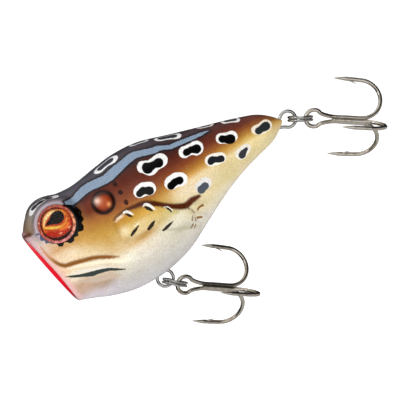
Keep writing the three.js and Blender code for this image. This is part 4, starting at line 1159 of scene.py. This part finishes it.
def splitRing(name):
    # two close coils of wire with a step from one to the other
    s = ringSettings
    points = []
    for turn in range(0, 720 - s["overlap"] + 1, 4):
        step = float(smoothstep(360 - s["overlap"], 360, turn))
        at = math.radians(s["start"] + turn)
        points.append((s["radius"] * math.cos(at), s["radius"] * math.sin(at), (step - 0.5) * s["pitch"]))
    radii = np.full(len(points), s["wire"])
    radii[[0, -1]] *= 0.9
    return bentWire(name, points, radii, 12)


hookSettings = {"wire": 0.45, "eye": 1.8, "shank": 10.2, "gape": 9.3, "tip": 4.4, "offset": 0.62,
                "lead": 3.3, "needle": 2.6, "point": 0.05,
                "barb": {"radius": 0.36, "tip": 0.02, "length": 2.7, "flat": 0.7, "lean": 26, "behind": 3.9,
                         "inside": 0.42}}


def prongLine(turn):
    # from the tip round the bend and up the shank, in the plane that leans by turn
    s = hookSettings
    out = np.array([0, -math.cos(math.radians(turn)), math.sin(math.radians(turn))])
    bend = (s["gape"] - s["offset"]) / 2
    flat = [(s["tip"], s["gape"] + 0.15), (s["tip"] + 2, s["gape"] + 0.15), (s["tip"] + 4, s["gape"] + 0.1)]
    for step in range(17):
        angle = math.pi / 2 - step * math.pi / 16
        flat.append((s["shank"] + bend * math.cos(angle), s["offset"] + bend + bend * math.sin(angle)))
    flat += [(s["shank"] - 3, s["offset"]), (s["lead"] + 0.6, s["offset"])]
    return [np.array([along, 0, 0]) + out * away for along, away in flat]


def needleRadii(points, both=False):
    # full thickness, drawn down to a needle over the last stretch before each tip
    s = hookSettings
    steps = np.linalg.norm(np.diff(points, axis=0), axis=1)
    along = np.concatenate([[0], np.cumsum(steps)])
    fromTip = np.minimum(along, along[-1] - along) if both else along
    return s["point"] + (s["wire"] - s["point"]) * np.clip(fromTip / s["needle"], 0, 1) ** 0.8


def barbPiece(turn):
    # a sliver raised from the inner side of the point, leaning back from the tip
    s, b = hookSettings, hookSettings["barb"]
    bpy.ops.object.select_all(action="DESELECT")
    bpy.ops.mesh.primitive_cone_add(
        vertices=12, radius1=b["radius"] * mm, radius2=b["tip"] * mm, depth=b["length"] * mm,
    )
    barb = named("barb")
    editPiece(barb, selectAll, lambda: bpy.ops.transform.resize(value=(b["flat"], 1.0, 1.0)))
    lean = turned(-90 - b["lean"], "Z") @ turned(-90, "X")
    place(barb, shifted(s["tip"] + b["behind"], 0, s["gape"] - b["inside"]) @ turned(90, "X") @ lean)
    return place(barb, turned(turn + 90, "X"))


def singleHook(name):
    line = throughPoints(prongLine(0), 130)
    wire = bentWire(name, line, needleRadii(line), 14)
    return join([wire, barbPiece(0)], name)


def doubleHook(name):
    line = throughPoints(prongLine(120) + eyeLoop(hookSettings["eye"]) + prongLine(-120)[::-1], 320)
    wire = bentWire(name, line, needleRadii(line, True), 14)
    return join([wire, barbPiece(120), barbPiece(-120)], name)


# how each ring hangs from its wire and each treble from its ring, in millimetres and degrees
hangSettings = {
    "belly": {"hanger": (16.65, -15.5), "ringAhead": -0.6, "ringBelow": -0.2, "ringDroop": 43,
              "hookAhead": -0.2, "hookBelow": 0.06, "droop": 38, "roll": 3, "yaw": 12},
    "tail": {"hanger": (56.9, -1.2), "ringAhead": 0.2, "ringBelow": -0.12, "ringDroop": 30,
             "hookAhead": 0.36, "hookBelow": -0.27, "droop": 36, "roll": 7, "yaw": 0},
}

for word, h in hangSettings.items():
    droop = math.radians(h["ringDroop"])
    nearX, nearZ = h["hanger"][0] + h["ringAhead"], h["hanger"][1] + h["ringBelow"]
    reach, radius = (math.cos(droop), -math.sin(droop)), ringSettings["radius"]
    ringAt = shifted(nearX + reach[0] * radius, 0, nearZ + reach[1] * radius)
    ring = place(splitRing(word + "SplitRing"), ringAt @ turned(h["ringDroop"], "Y"))
    dress(ring, ringNickel, word + "_split_ring", word + "_ring")
    hookX = nearX + reach[0] * 2 * radius + h["hookAhead"]
    hookZ = nearZ + reach[1] * 2 * radius + h["hookBelow"]
    hookTurn = turned(h["droop"], "Y") @ turned(h["yaw"], "Z") @ turned(h["roll"], "X")
    for maker, part in ((doubleHook, "double"), (singleHook, "single")):
        hook = place(maker(word + "Treble" + part.capitalize()), shifted(hookX, 0, hookZ) @ hookTurn)
        dress(hook, hookPlate, word + "_treble_" + part, word + "_treble")
print("wires, rings and hooks")

for name in ("tail_weight", "rattle_ball_1", "rattle_ball_2", "rattle_ball_3"):
    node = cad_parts[name]
    node.data.materials.clear()
    node.data.materials.append(steel)


stageSettings = {
    "floor": -70, "floorSize": 6, "floorColour": "fdfdfd",
    # what the lure reflects: tones from straight down to straight up, and a soft panel on the near side
    "sky": [(0.0, 0.5), (0.3, 0.4), (0.44, 0.02), (0.76, 0.03), (0.9, 0.5), (1.0, 1.1)],
    "panelAt": (-0.1, -0.98, 0.17), "panelEdge": (0.78, 0.88), "panel": 0.8,
}

bpy.ops.object.select_all(action="DESELECT")
floorAt = (0, 0, stageSettings["floor"] * mm)
bpy.ops.mesh.primitive_plane_add(size=stageSettings["floorSize"], location=floorAt)
floor = named("floor")
paper = {"Roughness": 0.9, "Emission Color": (1, 1, 1, 1), "Emission Strength": 0.6}
floor.data.materials.append(newMaterial("floorPaper", stageSettings["floorColour"], **paper))
floor.visible_glossy = False

lightSettings = {
    "key": {"at": (-240, -420, 380), "size": 340, "power": 1.42, "shines": False},
    "fill": {"at": (330, -420, 60), "size": 420, "power": 0.62, "shines": False},
    "top": {"at": (30, 210, 420), "size": 260, "power": 0.7, "shines": False},
    "spark": {"at": (-330, -360, 420), "size": 190, "power": 0.35, "shines": True},
}
for name, s in lightSettings.items():
    bpy.ops.object.light_add(type="AREA", location=[c * mm for c in s["at"]])
    light = bpy.context.object
    light.name = name
    light.data.shape = "SQUARE"
    light.data.size, light.data.energy = s["size"] * mm, s["power"]
    light.rotation_euler = (Vector((25, 0, -3)) * mm - light.location).to_track_quat("-Z", "Y").to_euler()
    light.visible_camera, light.visible_glossy = False, s["shines"]


def studioWorld():
    # plain white where the camera looks past the lure, and the sky and panel in its reflections
    s = stageSettings
    world = bpy.data.worlds.new("studio")
    bpy.context.scene.world = world
    world.use_nodes = True
    tree = world.node_tree
    kinds = "TexCoord SeparateXYZ Math ValToRGB VectorMath MapRange Mix Mix LightPath".split()
    made = [tree.nodes.new("ShaderNode" + kind) for kind in kinds]
    coords, parts, lift, band, front, panel, both, white, seen = made
    lift.operation = "MULTIPLY_ADD"
    lift.inputs[1].default_value, lift.inputs[2].default_value = 0.5, 0.5
    for i, (at, tone) in enumerate(s["sky"]):
        stop = band.color_ramp.elements[i] if i < 2 else band.color_ramp.elements.new(at)
        stop.position = at
        stop.color = (tone, tone, tone, 1)
    front.operation = "DOT_PRODUCT"
    front.inputs[1].default_value = s["panelAt"]
    panel.interpolation_type = "SMOOTHSTEP"
    for key, value in zip(("From Min", "From Max", "To Min", "To Max"), (*s["panelEdge"], 0.0, s["panel"])):
        panel.inputs[key].default_value = value
    both.data_type, both.blend_type = "RGBA", "ADD"
    both.inputs[0].default_value = 1
    white.data_type = "RGBA"
    white.inputs[7].default_value = (1, 1, 1, 1)
    for value, socket in (
        (coords.outputs["Generated"], parts.inputs[0]),
        (parts.outputs[2], lift.inputs[0]),
        (lift.outputs[0], band.inputs[0]),
        (coords.outputs["Generated"], front.inputs[0]),
        (front.outputs["Value"], panel.inputs["Value"]),
        (band.outputs[0], both.inputs[6]),
        (panel.outputs["Result"], both.inputs[7]),
        (seen.outputs["Is Camera Ray"], white.inputs[0]),
        (both.outputs[2], white.inputs[6]),
        (white.outputs[2], tree.nodes["Background"].inputs["Color"]),
    ):
        tree.links.new(value, socket)


studioWorld()
bpy.context.scene.view_settings.view_transform = "Standard"
print("stage")

for material in list(bpy.data.materials):  # drops the ones that no piece uses
    if not material.users:
        bpy.data.materials.remove(material)
